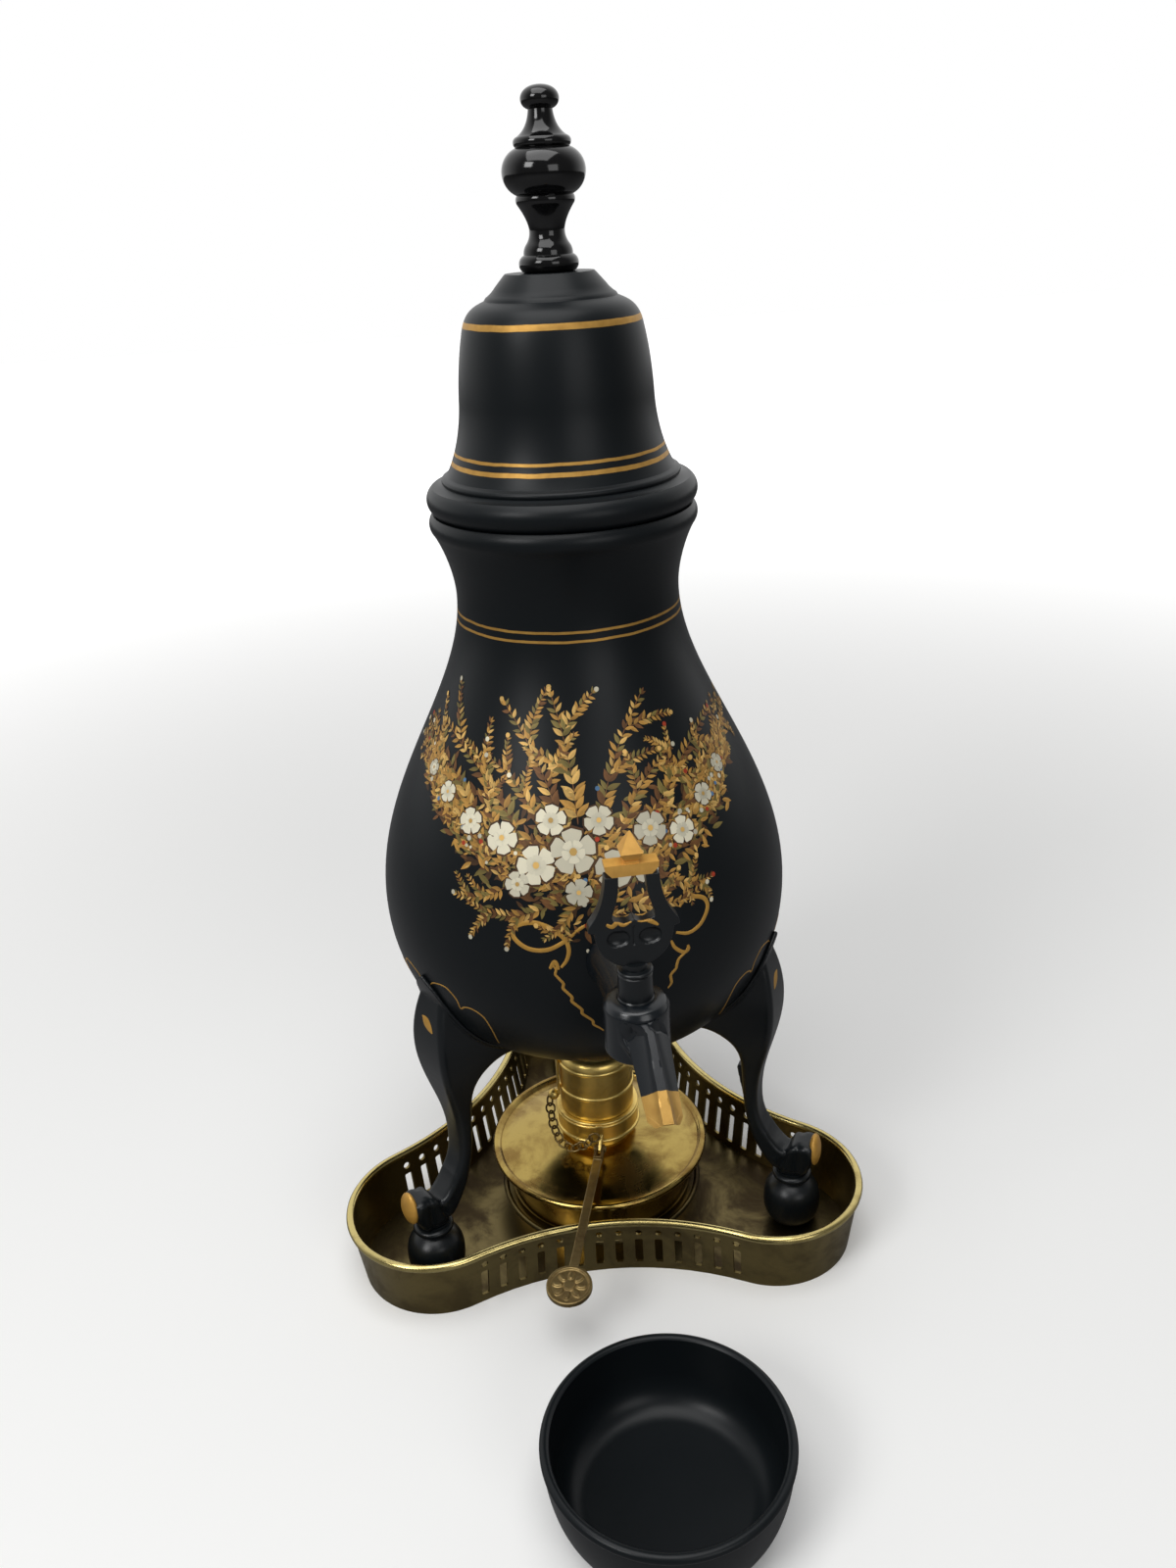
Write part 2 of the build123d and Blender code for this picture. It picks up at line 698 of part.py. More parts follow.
# Cabriole legs. The side outline gives the knee, the calf and the ankle, and the front outline
# gives the breadth. Points near the foot hang on the ball's place, the others on the body.
ankle = foot_reach
sole = foot_top
knee = belly_radius
under = body_low
for angle, leg_name in zip(leg_angles, leg_names):
    upright = radial_plane(angle)
    with BuildPart() as leg:
        with BuildSketch(upright.offset(-leg_breadth)):
            with BuildLine():
                Spline(
                    (ankle - 1.5, sole + 12),
                    (ankle - 7.0, sole + 15.5),
                    (ankle - 10.9, sole + 21),
                    (ankle - 12.8, sole + 31),
                    (knee - 4.2, under - 19),
                    (knee - 1.4, under - 8),
                    (knee + 1.2, under + 6),
                    (knee + 0.3, under + 21),
                    (knee - 5.0, under + 37),
                )
                Polyline(
                    (knee - 5.0, under + 37),
                    (foot_disc + 16, under + 14),
                    (foot_disc + 16, under - 0.6),
                )
                Spline(
                    (foot_disc + 16, under - 0.6),
                    (knee - 20.2, under - 1.6),
                    (knee - 13.7, under - 7.0),
                    (knee - 11.4, under - 18),
                    (ankle - 18.0, sole + 28),
                    (ankle - 14.9, sole + 15),
                    (ankle - 6.5, sole + 2),
                )
                Line((ankle - 6.5, sole + 2), (ankle - 1.5, sole + 12))
            make_face()
        extrude(amount=2 * leg_breadth)
        with BuildSketch(facing_plane(angle, foot_disc)):
            with BuildLine():
                Line((0, under + 39), (leg_breadth * 0.5, under + 39))
                Spline(
                    (leg_breadth * 0.5, under + 39),
                    (leg_breadth * 0.76, under + 28),
                    (leg_breadth * 0.95, under + 15),
                    (leg_breadth * 0.9, under),
                    (leg_breadth * 0.62, under - 19),
                    (leg_breadth * 0.53, sole + 28),
                    (leg_breadth * 0.54, sole + 12),
                    (leg_breadth * 0.56, sole),
                )
                Line((leg_breadth * 0.56, sole), (0, sole))
                mirror(about=Plane.YZ)
            make_face()
        extrude(amount=knee, mode=Mode.INTERSECT)
        fillet(leg.edges().filter_by(lambda edge: edge.length > knee / 3), leg_edge)
    with BuildPart() as hoof:
        with BuildSketch(upright.offset(-hoof_width / 2)):
            with BuildLine():
                Line((ankle - foot_neck, sole), (ankle + foot_neck, sole))
                toe_tip = (ankle + toe_reach * 0.84, sole + hoof_height * 0.944)
                instep = (ankle - toe_reach * 0.26, sole + hoof_height * 0.75)
                heel = (ankle - toe_reach * 0.84, sole + hoof_height * 0.417)
                Bezier(
                    (ankle + foot_neck, sole),
                    (ankle + toe_reach * 0.82, sole + hoof_height * 0.278),
                    (ankle + toe_reach, sole + hoof_height * 0.667),
                    toe_tip,
                )
                Bezier(
                    toe_tip,
                    (ankle + toe_reach * 0.5, sole + hoof_height * 1.056),
                    (ankle + toe_reach * 0.05, sole + hoof_height * 0.972),
                    instep,
                )
                Line(instep, heel)
                Line(heel, (ankle - foot_neck, sole))
            make_face()
        extrude(amount=hoof_width)
        rims = hoof.faces().filter_by(upright).edges().filter_by(lambda edge: edge.center().Z > sole + 1)
        fillet(rims, hoof_width * 0.2)
    with BuildPart() as flange:
        with BuildSketch(facing_plane(angle, foot_disc + 20)):
            with BuildLine():
                Line((0, under + 41), (leg_breadth * 0.5, under + 37))
                Spline(
                    (leg_breadth * 0.5, under + 37),
                    (leg_breadth * 0.76 + leg_flange, under + 28),
                    (leg_breadth * 0.95 + leg_flange, under + 15),
                    (leg_breadth * 0.9 + leg_flange, under - 2),
                )
                Line((leg_breadth * 0.9 + leg_flange, under - 2), (0, under - 2))
                mirror(about=Plane.YZ)
            make_face()
        extrude(amount=knee)
        add(flange_skin.part, mode=Mode.INTERSECT)
        add(body_core.part, mode=Mode.SUBTRACT)
    with BuildPart() as cabriole:
        add(leg.part)
        add(hoof.part)
        add(flange.part)
        with BuildSketch(upright):
            with BuildLine():
                Polyline(
                    (knee - 10.0, under - 17.6),
                    (knee - 14.0, under - 19.2),
                    (knee - 12.9, under - 25.0),
                    (ankle - 18.0, sole + 27),
                    (ankle - 15.0, sole + 30),
                    close=True,
                )
            make_face()
        extrude(amount=leg_breadth * 0.22, both=True)
        add(body_core.part, mode=Mode.SUBTRACT)
    keep(cabriole, leg_name)

# Turned ball feet, each with a collar under the hoof.
for angle, foot_name in zip(leg_angles, foot_names):
    foot_low = tray_floor + seat_gap
    with BuildPart() as ball_foot:
        with BuildSketch(radial_plane(angle, foot_reach)):
            with BuildLine():
                Line((0, foot_low), (foot_neck, foot_low))
                ball_top = foot_top - 4.6
                ball_middle = (foot_low + ball_top) / 2
                bulge = (ball_top - foot_low) * 0.27
                Bezier(
                    (foot_neck, foot_low),
                    (foot_radius - 1.2, foot_low + bulge * 0.5),
                    (foot_radius, ball_middle - bulge),
                    (foot_radius, ball_middle),
                )
                Bezier(
                    (foot_radius, ball_middle),
                    (foot_radius, ball_middle + bulge),
                    (foot_radius - 1.2, ball_top - bulge * 0.5),
                    (foot_neck, ball_top),
                )
                Line((foot_neck, ball_top), (foot_neck + 0.6, foot_top - 3.8))
                ThreePointArc(
                    (foot_neck + 0.6, foot_top - 3.8), (foot_neck + 1.9, foot_top - 2.4), (foot_neck + 0.6, foot_top - 1)
                )
                Line((foot_neck + 0.6, foot_top - 1), (foot_neck + 0.6, foot_top))
                Line((foot_neck + 0.6, foot_top), (0, foot_top))
                Line((0, foot_top), (0, foot_low))
            make_face()
        revolve(axis=Axis(spot(foot_reach, angle), (0, 0, 1)))
    keep(ball_foot, foot_name)

# The tap: a tapered barrel, the pipe that carries it, and a ridged spout. The tail goes through
# the urn's wall and is held from inside by a nut on a seal.
tap_y = -tap_reach
wall_in = min(body_radius(tap_height - seal_radius), body_radius(tap_height + seal_radius)) - body_wall
seal_in = sqrt(wall_in**2 - seal_radius**2) - seal_thickness
pipe_start = min(body_radius(tap_height - pipe_radius), body_radius(tap_height + pipe_radius)) - 4
tail_end = seal_in - tap_nut_height - seat_gap - strainer_grip
spout_plane = Plane(
    origin=(0, tap_y - 4, tap_height + 3.5),
    x_dir=(1, 0, 0),
    z_dir=(0, -(spout_run - 4), -spout_drop),
)
spout_length = hypot(spout_run - 4, spout_drop)


def spout_section(width, depth):
    """An eight-sided section with a narrow ridge on top, drawn in a sketch builder."""
    half = (
        (width * 0.16, -depth / 2),
        (width / 2, -depth * 0.12),
        (width / 2, depth * 0.2),
        (width * 0.3, depth / 2),
    )
    Polygon(*half, *[(-x, y) for x, y in reversed(half)], align=None)


with BuildPart() as tap_body:
    with BuildSketch(Plane.XY.offset(barrel_low)):
        with Locations((0, tap_y)):
            Circle(barrel_radius)
    extrude(amount=barrel_high - barrel_low)
    fillet(tap_body.faces().sort_by(Axis.Z)[0].edges(), barrel_edge)
    chamfer(tap_body.faces().sort_by(Axis.Z)[-1].edges(), barrel_edge)
    with BuildSketch(Plane.XZ.offset(pipe_start)):
        with Locations((0, tap_height)):
            Circle(pipe_radius)
    extrude(amount=tap_reach - pipe_start)
    with BuildSketch(spout_plane):
        spout_section(spout_width, spout_depth)
    with BuildSketch(spout_plane.offset(spout_length)):
        spout_section(spout_tip_width, spout_tip_depth)
    loft()
    with BuildSketch():
        with Locations((0, tap_y - spout_run / 2)):
            Rectangle(2 * spout_width, 2 * spout_run)
    extrude(amount=mouth_height, mode=Mode.SUBTRACT)
    add(body_core.part, mode=Mode.SUBTRACT)
    with BuildSketch(Plane.XZ.offset(tail_end)):
        with Locations((0, tap_height)):
            Circle(tail_radius)
    extrude(amount=belly_radius + 2 - tail_end)
    with BuildSketch(Plane.XZ.offset(tail_end - 1)):
        with Locations((0, tap_height)):
            Circle(bore_radius)
    extrude(amount=tap_reach - tail_end + 1, mode=Mode.SUBTRACT)
    with BuildSketch(spout_plane):
        Circle(bore_radius)
    extrude(amount=spout_length + 8, mode=Mode.SUBTRACT)
    with BuildSketch(Plane.XY.offset(barrel_low - 0.01)):
        with Locations((0, tap_y)):
            Circle(plug_low_radius + turn_fit)
    with BuildSketch(Plane.XY.offset(barrel_high + 0.01)):
        with Locations((0, tap_y)):
            Circle(plug_high_radius + turn_fit)
    loft(mode=Mode.SUBTRACT)
keep(tap_body, "tap_body")

with BuildPart() as tap_seal:
    with BuildSketch(Plane.XZ.offset(seal_in)):
        with Locations((0, tap_height)):
            Circle(seal_radius)
    extrude(amount=belly_radius - seal_in)
    add(body_hollow.part, mode=Mode.INTERSECT)
    with BuildSketch(Plane.XZ.offset(seal_in)):
        with Locations((0, tap_height)):
            Circle(tail_radius + pin_fit)
    extrude(amount=belly_radius - seal_in, mode=Mode.SUBTRACT)
keep(tap_seal, "tap_seal")

with BuildPart() as tap_nut:
    with BuildSketch(Plane.XZ.offset(seal_in - tap_nut_height)):
        with Locations((0, tap_height)):
            RegularPolygon(tap_nut_flats / 2, 6, major_radius=False)
            Circle(tail_radius + pin_fit, mode=Mode.SUBTRACT)
    extrude(amount=tap_nut_height)
keep(tap_nut, "tap_nut")

# A small domed strainer on the tail's inner end keeps grounds out of the tap.
with BuildPart() as tap_strainer:
    with BuildSketch(Plane.XZ.offset(tail_end - 7)):
        with Locations((0, tap_height)):
            Circle(tail_radius + 1)
    extrude(amount=7 + strainer_grip)
    fillet(tap_strainer.faces().sort_by(Axis.Y)[-1].edges(), 3)
    with BuildSketch(Plane.XZ.offset(tail_end - 6)):
        with Locations((0, tap_height)):
            Circle(tail_radius + pin_fit)
    extrude(amount=7 + strainer_grip, mode=Mode.SUBTRACT)
    with BuildSketch(Plane.XZ.offset(tail_end - 8)):
        with Locations((0, tap_height)):
            Circle(0.8)
            with PolarLocations(2.6, 6):
                Circle(0.8)
    extrude(amount=4, mode=Mode.SUBTRACT)
keep(tap_strainer, "tap_strainer")

# The key's plug. Its cross bore lies across the pipe, so the tap is closed.
with BuildPart() as tap_plug:
    with BuildSketch(Plane.XY.offset(barrel_low - 1.2)):
        with Locations((0, tap_y)):
            Circle(plug_low_radius)
    with BuildSketch(Plane.XY.offset(barrel_high)):
        with Locations((0, tap_y)):
            Circle(plug_high_radius)
    loft()
    with BuildSketch(Plane.XY.offset(barrel_high)):
        with Locations((0, tap_y)):
            Circle(stem_radius)
    extrude(amount=stem_high - barrel_high)
    with BuildSketch(Plane.XY.offset(stem_high)):
        with Locations((0, tap_y)):
            Circle(3.7)
    extrude(amount=shield_low - stem_high)
    with BuildSketch(Plane.XY.offset(barrel_low - 6)):
        with Locations((0, tap_y)):
            Circle(stud_radius)
    extrude(amount=5)
    with BuildSketch(Plane.YZ.offset(-barrel_radius)):
        with Locations((tap_y, tap_height)):
            Circle(bore_radius)
    extrude(amount=2 * barrel_radius, mode=Mode.SUBTRACT)
keep(tap_plug, "tap_plug")

with BuildPart() as plug_washer:
    with BuildSketch(Plane.XY.offset(barrel_low - 1.2 - 1.0)):
        with Locations((0, tap_y)):
            Circle(7.0)
            Circle(stud_radius + pin_fit, mode=Mode.SUBTRACT)
    extrude(amount=1.0)
keep(plug_washer, "plug_washer")

with BuildPart() as plug_nut:
    with BuildSketch(Plane.XY.offset(barrel_low - 1.2 - 1.0 - nut_height)):
        with Locations((0, tap_y)):
            RegularPolygon(nut_flats / 2, 6, major_radius=False)
            Circle(stud_radius + pin_fit, mode=Mode.SUBTRACT)
    extrude(amount=nut_height)
keep(plug_nut, "plug_nut")

# The pierced lyre handle: a shield with two sunk eyes, hooked shoulders and two arms.
key_plane = Plane(origin=(0, tap_y, 0), x_dir=(1, 0, 0), z_dir=(0, -1, 0))
with BuildPart() as key_lyre:
    with BuildSketch(key_plane):
        with BuildLine():
            Line((0, shield_low), (3.6, shield_low))
            Bezier(
                (3.6, shield_low),
                (8.5, shield_low + 2.0),
                (key_half_width - 2.2, shield_low + 5.5),
                (key_half_width - 1.8, shield_low + 11.5),
            )
            Line((key_half_width - 1.8, shield_low + 11.5), (key_half_width, shield_low + 12.0))
            Line((key_half_width, shield_low + 12.0), (key_half_width - 0.3, shield_low + 13.8))
            Bezier(
                (key_half_width - 0.3, shield_low + 13.8),
                (key_half_width - 2.6, shield_low + 17.0),
                (arm_gap + 4.4, shield_low + 20.0),
                (arm_gap + 3.8, arm_top),
            )
            Line((arm_gap + 3.8, arm_top), (arm_gap, arm_top))
            Bezier(
                (arm_gap, arm_top),
                (arm_gap, shield_high + 4.0),
                (arm_gap + 2.6, shield_high + 2.6),
                (arm_gap + 2.2, shield_high),
            )
            Bezier(
                (arm_gap + 2.2, shield_high),
                (arm_gap, shield_high - 1.6),
                (arm_gap - 2.6, shield_high - 1.8),
                (0, shield_high - 0.2),
            )
            Line((0, shield_high - 0.2), (0, shield_low))
        make_face()
        mirror(about=Plane.YZ)
    extrude(amount=key_thickness / 2, both=True)
    for side in (key_thickness / 2 - 1.0, -key_thickness / 2):
        with BuildSketch(key_plane.offset(side)):
            with Locations((-4.6, shield_high - 6.0), (4.6, shield_high - 6.0)):
                Ellipse(3.0, 2.3)
        extrude(amount=1.0, mode=Mode.SUBTRACT)
keep(key_lyre, "key_lyre")

with BuildPart() as key_crossbar:
    with BuildSketch(key_plane):
        with BuildLine():
            Polyline(
                (-bar_half_length + 1.2, arm_top),
                (bar_half_length - 1.2, arm_top),
                (bar_half_length, arm_top + bar_height * 0.5),
                (bar_half_length - 0.8, arm_top + bar_height),
                (-bar_half_length + 0.8, arm_top + bar_height),
                (-bar_half_length, arm_top + bar_height * 0.5),
                close=True,
            )
        make_face()
    extrude(amount=bar_depth / 2, both=True)
    point_low = arm_top + bar_height
    for low, high, wide, narrow in (
        (point_low, point_low + 2.4, 2.0, point_half),
        (point_low + 2.4, key_point, point_half, 0.25),
    ):
        with BuildSketch(Plane.XY.offset(low)):
            with Locations((0, tap_y)):
                Rectangle(2 * wide, 2 * wide)
        with BuildSketch(Plane.XY.offset(high)):
            with Locations((0, tap_y)):
                Rectangle(2 * narrow, 2 * narrow)
        loft()
keep(key_crossbar, "key_crossbar")

# Lid: a bell with a beaded foot, standing on the urn's mouth.
lid_low = body_top + seat_gap
lid_top = lid_low + lid_height
bead_top = 10.7


def bell_outline(inset):
    """Half of the bell's section, from above the bead to the flat top."""
    foot = lid_foot - inset
    side = bell_radius - inset
    shoulder = shoulder_radius - inset
    top = lid_low + lid_height - inset
    Bezier((foot, lid_low + 11.6), (foot - 3, lid_low + 17), (side + 0.4, lid_low + 25), (side, lid_low + 34))
    Bezier(
        (side, lid_low + 34),
        (side - 0.4, lid_low + 42),
        (shoulder + 1.6, lid_low + 51),
        (shoulder, top - 13.7),
    )
    Bezier(
        (shoulder, top - 13.7),
        (shoulder - 1.6, top - 9.2),
        (shoulder - 4.6, top - 8.4),
        (lid_table + 6.9, top - 7.3),
    )
    Line((lid_table + 6.9, top - 7.3), (lid_table + 5.9, top - 6.0))
    Line((lid_table + 5.9, top - 6.0), (lid_table + 0.5, top - 0.5))
    Line((lid_table + 0.5, top - 0.5), (lid_table, top))


with BuildPart() as lid_bell:
    with BuildSketch(Plane.XZ):
        with BuildLine():
            Line((lid_foot - lid_wall, lid_low), (lid_bead - 2.3, lid_low))
            ThreePointArc(
                (lid_bead - 2.3, lid_low), (lid_bead, lid_low + 4.4), (lid_bead - 2.1, lid_low + 8.2)
            )
            ThreePointArc(
                (lid_bead - 2.1, lid_low + 8.2),
                (lid_foot + 2.4, lid_low + 9.2),
                (lid_foot + 0.6, lid_low + bead_top),
            )
            Line((lid_foot + 0.6, lid_low + bead_top), (lid_foot, lid_low + 11.6))
            bell_outline(0)
            Line((lid_table, lid_top), (0, lid_top))
            Line((0, lid_top), (0, lid_top - lid_wall))
            Line((0, lid_top - lid_wall), (lid_table, lid_top - lid_wall))
            bell_outline(lid_wall)
            Line((lid_foot - lid_wall, lid_low + 11.6), (lid_foot - lid_wall, lid_low))
        make_face()
    revolve(axis=Axis.Z)
    with BuildSketch(Plane.XY.offset(lid_top - 2 * lid_wall)):
        Circle(stud_radius + pin_fit)
    extrude(amount=3 * lid_wall, mode=Mode.SUBTRACT)
keep(lid_bell, "lid_bell")

# The skirt is soldered inside the lid's foot and drops into the urn's mouth.
skirt_radius = lid_foot - lid_wall
with BuildPart() as lid_skirt:
    with BuildSketch(Plane.XY.offset(lid_low - skirt_depth)):
        Circle(skirt_radius)
        Circle(skirt_radius - skirt_wall, mode=Mode.SUBTRACT)
    extrude(amount=skirt_depth + 8)
keep(lid_skirt, "lid_skirt")

# The turned finial, polished black wood, on a stud with a washer and a nut inside the lid.
finial_top = lid_top + finial_height
with BuildPart() as finial:
    with BuildSketch(Plane.XZ):
        with BuildLine():
            Line((0, lid_top), (finial_foot - 1.5, lid_top))
            ThreePointArc(
                (finial_foot - 1.5, lid_top), (finial_foot, lid_top + 2.9), (finial_foot - 1.6, lid_top + 5.0)
            )
            ThreePointArc((finial_foot - 1.6, lid_top + 5.0), (7.35, lid_top + 6.4), (6.7, lid_top + 7.8))
            Bezier((6.7, lid_top + 7.8), (4.6, lid_top + 10.5), (4.9, lid_top + 13.5), (8.3, lid_top + 18.5))
            ThreePointArc((8.3, lid_top + 18.5), (8.9, lid_top + 19.9), (8.5, lid_top + 21.3))
            ThreePointArc((8.5, lid_top + 21.3), (finial_bulb, lid_top + 27.7), (8.0, lid_top + 34.0))
            ThreePointArc((8.0, lid_top + 34.0), (8.6, lid_top + 35.4), (7.4, lid_top + 36.9))
            Bezier(
                (7.4, lid_top + 36.9), (5.0, lid_top + 38.4), (3.9, lid_top + 41.0), (3.6, finial_top - 6.4)
            )
            Bezier(
                (3.6, finial_top - 6.4),
                (finial_tip + 1.6, finial_top - 5.2),
                (finial_tip + 0.9, finial_top),
                (0, finial_top),
            )
            Line((0, finial_top), (0, lid_top))
        make_face()
    revolve(axis=Axis.Z)
    with BuildSketch(Plane.XY.offset(lid_top)):
        Circle(stud_radius + pin_fit)
    extrude(amount=stud_depth, mode=Mode.SUBTRACT)
keep(finial, "finial")

nut_top = lid_top - lid_wall - 1.0
with BuildPart() as finial_stud:
    with BuildSketch(Plane.XY.offset(nut_top - nut_height - 1.5)):
        Circle(stud_radius)
    extrude(amount=lid_top + stud_depth - 1 - nut_top + nut_height + 1.5)
keep(finial_stud, "finial_stud")

with BuildPart() as finial_washer:
    with BuildSketch(Plane.XY.offset(nut_top)):
        Circle(6.0)
        Circle(stud_radius + pin_fit, mode=Mode.SUBTRACT)
    extrude(amount=1.0)
keep(finial_washer, "finial_washer")

with BuildPart() as finial_nut:
    with BuildSketch(Plane.XY.offset(nut_top - nut_height)):
        RegularPolygon(nut_flats / 2, 6, major_radius=False)
        Circle(stud_radius + pin_fit, mode=Mode.SUBTRACT)
    extrude(amount=nut_height)
keep(finial_nut, "finial_nut")

# The loose drip bowl: a turned cup with a thick rounded lip, a coved inside and a foot ring.
bowl_place = spot(bowl_reach, bowl_angle)
with BuildPart() as drip_bowl:
    with BuildSketch(Plane(origin=bowl_place, x_dir=(1, 0, 0), z_dir=(0, -1, 0))):
        with BuildLine():
            Line((0, 1.2), (bowl_foot - 3, 1.2))
            Line((bowl_foot - 3, 1.2), (bowl_foot - 2.4, 0))
            Line((bowl_foot - 2.4, 0), (bowl_foot, 0))
            Bezier(
                (bowl_foot, 0),
                (bowl_radius - 4, 3),
                (bowl_radius - 1.2, bowl_height * 0.45),
                (bowl_radius - 0.6, bowl_height - 3),
            )
            ThreePointArc(
                (bowl_radius - 0.6, bowl_height - 3),
                (bowl_radius - 0.9, bowl_height - 0.3),
                (bowl_radius - 3.0, bowl_height - 0.9),
            )
            Line((bowl_radius - 3.0, bowl_height - 0.9), (bowl_radius - 3.6, bowl_height * 0.5))
            Bezier(
                (bowl_radius - 3.6, bowl_height * 0.5),
                (bowl_radius - 4.4, bowl_height * 0.24),
                (bowl_foot + 3, 1.2 + bowl_wall),
                (bowl_foot - 1.5, 1.2 + bowl_wall),
            )
            Line((bowl_foot - 1.5, 1.2 + bowl_wall), (0, 1.2 + bowl_wall))
            Line((0, 1.2 + bowl_wall), (0, 1.2))
        make_face()
    revolve(axis=Axis(bowl_place, (0, 0, 1)))
keep(drip_bowl, "drip_bowl")
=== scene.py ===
import cmath
import random
from math import asin, atan, atan2, copysign, cos, exp, pi, radians, sin, sqrt
import bmesh
import bpy
from mathutils import Matrix, Vector
from mathutils.bvhtree import BVHTree
from mathutils.geometry import interpolate_bezier


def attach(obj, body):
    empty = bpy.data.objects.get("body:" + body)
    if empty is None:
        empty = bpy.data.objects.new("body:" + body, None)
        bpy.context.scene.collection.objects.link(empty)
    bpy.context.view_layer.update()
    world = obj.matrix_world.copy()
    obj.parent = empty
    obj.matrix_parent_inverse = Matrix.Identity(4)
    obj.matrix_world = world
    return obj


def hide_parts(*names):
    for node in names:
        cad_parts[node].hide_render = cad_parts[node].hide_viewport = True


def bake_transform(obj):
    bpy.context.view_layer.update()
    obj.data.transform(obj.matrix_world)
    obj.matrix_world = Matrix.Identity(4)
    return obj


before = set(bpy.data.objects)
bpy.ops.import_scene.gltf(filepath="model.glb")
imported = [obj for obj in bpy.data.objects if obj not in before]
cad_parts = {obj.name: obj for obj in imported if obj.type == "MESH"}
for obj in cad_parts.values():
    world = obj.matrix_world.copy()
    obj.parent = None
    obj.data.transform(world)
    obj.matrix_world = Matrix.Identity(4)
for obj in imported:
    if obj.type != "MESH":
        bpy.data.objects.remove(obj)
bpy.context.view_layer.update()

# The urn stands on a plain pale table in soft daylight, which comes from above on the left.
# The camera stands in front of the tap, a little to its left, and looks down on it.
scene = bpy.context.scene
collection = scene.collection


def node(tree, kind, inputs=None, **settings):
    """Adds a node. Its inputs are given by name or place, each as a value, a node or an output."""
    made = tree.nodes.new(kind)
    for key, value in settings.items():
        setattr(made, key, value)
    for key, value in (inputs or {}).items():
        if isinstance(value, bpy.types.Node):
            value = value.outputs[0]
        if isinstance(value, bpy.types.NodeSocket):
            tree.links.new(value, made.inputs[key])
        else:
            made.inputs[key].default_value = value
    return made


def maths(operation, a, b=0.0, c=0.0):
    """The result of one sum."""
    return node(a.id_data, "ShaderNodeMath", {0: a, 1: b, 2: c}, operation=operation).outputs[0]


def scaled(value, by, plus=0.0):
    """A value times another, plus a third."""
    return maths("MULTIPLY_ADD", value, by, plus)


def mixed(share, a, b):
    """One colour where the share is 0, the other where it is 1."""
    return node(share.id_data, "ShaderNodeMix", {0: share, 6: a, 7: b}, data_type="RGBA").outputs[2]


def rising(value, low, high, start=0.0, end=1.0):
    """A value that rises smoothly from start to end as another goes from low to high."""
    ends = {0: value, 1: low, 2: high, 3: start, 4: end}
    return node(value.id_data, "ShaderNodeMapRange", ends, interpolation_type="SMOOTHSTEP").outputs[0]


def fed(shader, **sources):
    """Links a shader's inputs, each named with its source."""
    for key, source in sources.items():
        shader.id_data.links.new(source, shader.inputs[key.replace("_", " ")])


def put(name, data):
    """A new object in the scene."""
    made = bpy.data.objects.new(name, data)
    collection.objects.link(made)
    return made


def finish(name, slot=None, **fixed):
    """A new material with the shader's values that are the same all over it. The slot argument is not used.
    """
    made = bpy.data.materials.new(name)
    made.use_nodes = True
    tree = made.node_tree
    shader = tree.nodes["Principled BSDF"]
    for key, value in fixed.items():
        shader.inputs[key.replace("_", " ")].default_value = value
    place = node(tree, "ShaderNodeTexCoord").outputs["Object"]
    return made, tree, shader, place


view_lens, view_place = 29.25, Vector((0, -0.416, 0.3682))
view_side, view_turn, view_tilt, view_roll = (radians(angle) for angle in (-7, -7.443, 65.53, -3.125))
view = bpy.data.cameras.new("view")
view.lens = view_lens
view.clip_start = 0.01
camera = put("view", view)
camera.matrix_world = (
    Matrix.Translation(Matrix.Rotation(view_side, 4, "Z") @ view_place)
    @ Matrix.Rotation(view_turn, 4, "Z")
    @ Matrix.Rotation(view_tilt, 4, "X")
    @ Matrix.Rotation(view_roll, 4, "Z")
)
scene.camera = camera

lamp_aim = Vector((0, 0, 0.18))
for name, place, size, power in (
    ("overhead", (-0.15, -0.3, 1.5), 1.2, 15.0),
    ("window", (-0.85, -0.7, 0.95), 0.45, 6.0),
    ("room", (0.42, -1.2, 0.6), 0.6, 2.6),
):
    lamp = bpy.data.lights.new(name, "AREA")
    lamp.size = size
    lamp.energy = power
    stand = put(name, lamp)
    stand.location = place
    stand.rotation_euler = (lamp_aim - stand.location).to_track_quat("-Z", "Y").to_euler()

scene.view_settings.view_transform = "Standard"
daylight = bpy.data.worlds.new("daylight")
scene.world = daylight
daylight.use_nodes = True
sky = daylight.node_tree
path = node(sky, "ShaderNodeLightPath").outputs
seen = maths("MAXIMUM", path["Is Camera Ray"], path["Is Glossy Ray"])
seen = maths("MAXIMUM", seen, path["Is Transmission Ray"])
direction = node(sky, "ShaderNodeTexCoord").outputs["Generated"]
way = node(sky, "ShaderNodeSeparateXYZ", {0: direction}).outputs[1]
light = scaled(rising(way, -0.35, 0.55, 0.16, 1.0), scaled(seen, 0.7, 0.3))
background = sky.nodes["Background"]
background.inputs["Color"].default_value = (1, 1, 1, 1)
fed(background, Strength=maths("MAXIMUM", light, path["Is Camera Ray"]))

table_half = 4
table_corners = [(x * table_half, y * table_half, 0) for x, y in ((-1, -1), (1, -1), (1, 1), (-1, 1))]
table_mesh = bpy.data.meshes.new("table")
table_mesh.from_pydata(table_corners, [], [(0, 1, 2, 3)])
table = put("table", table_mesh)
pale, tree, shader, place = finish("pale_table", Roughness=0.9, Emission_Color=(1, 1, 1, 1))
across = node(tree, "ShaderNodeVectorMath", {0: place}, operation="LENGTH").outputs["Value"]
onlooker = node(tree, "ShaderNodeLightPath").outputs["Is Camera Ray"]
tones = mixed(onlooker, (0.26, 0.26, 0.265, 1), (0.8, 0.8, 0.79, 1))
fed(shader, Base_Color=tones, Emission_Strength=scaled(rising(across, 0.2, 1.7, 0.12, 1.1), onlooker))
table_mesh.materials.append(pale)


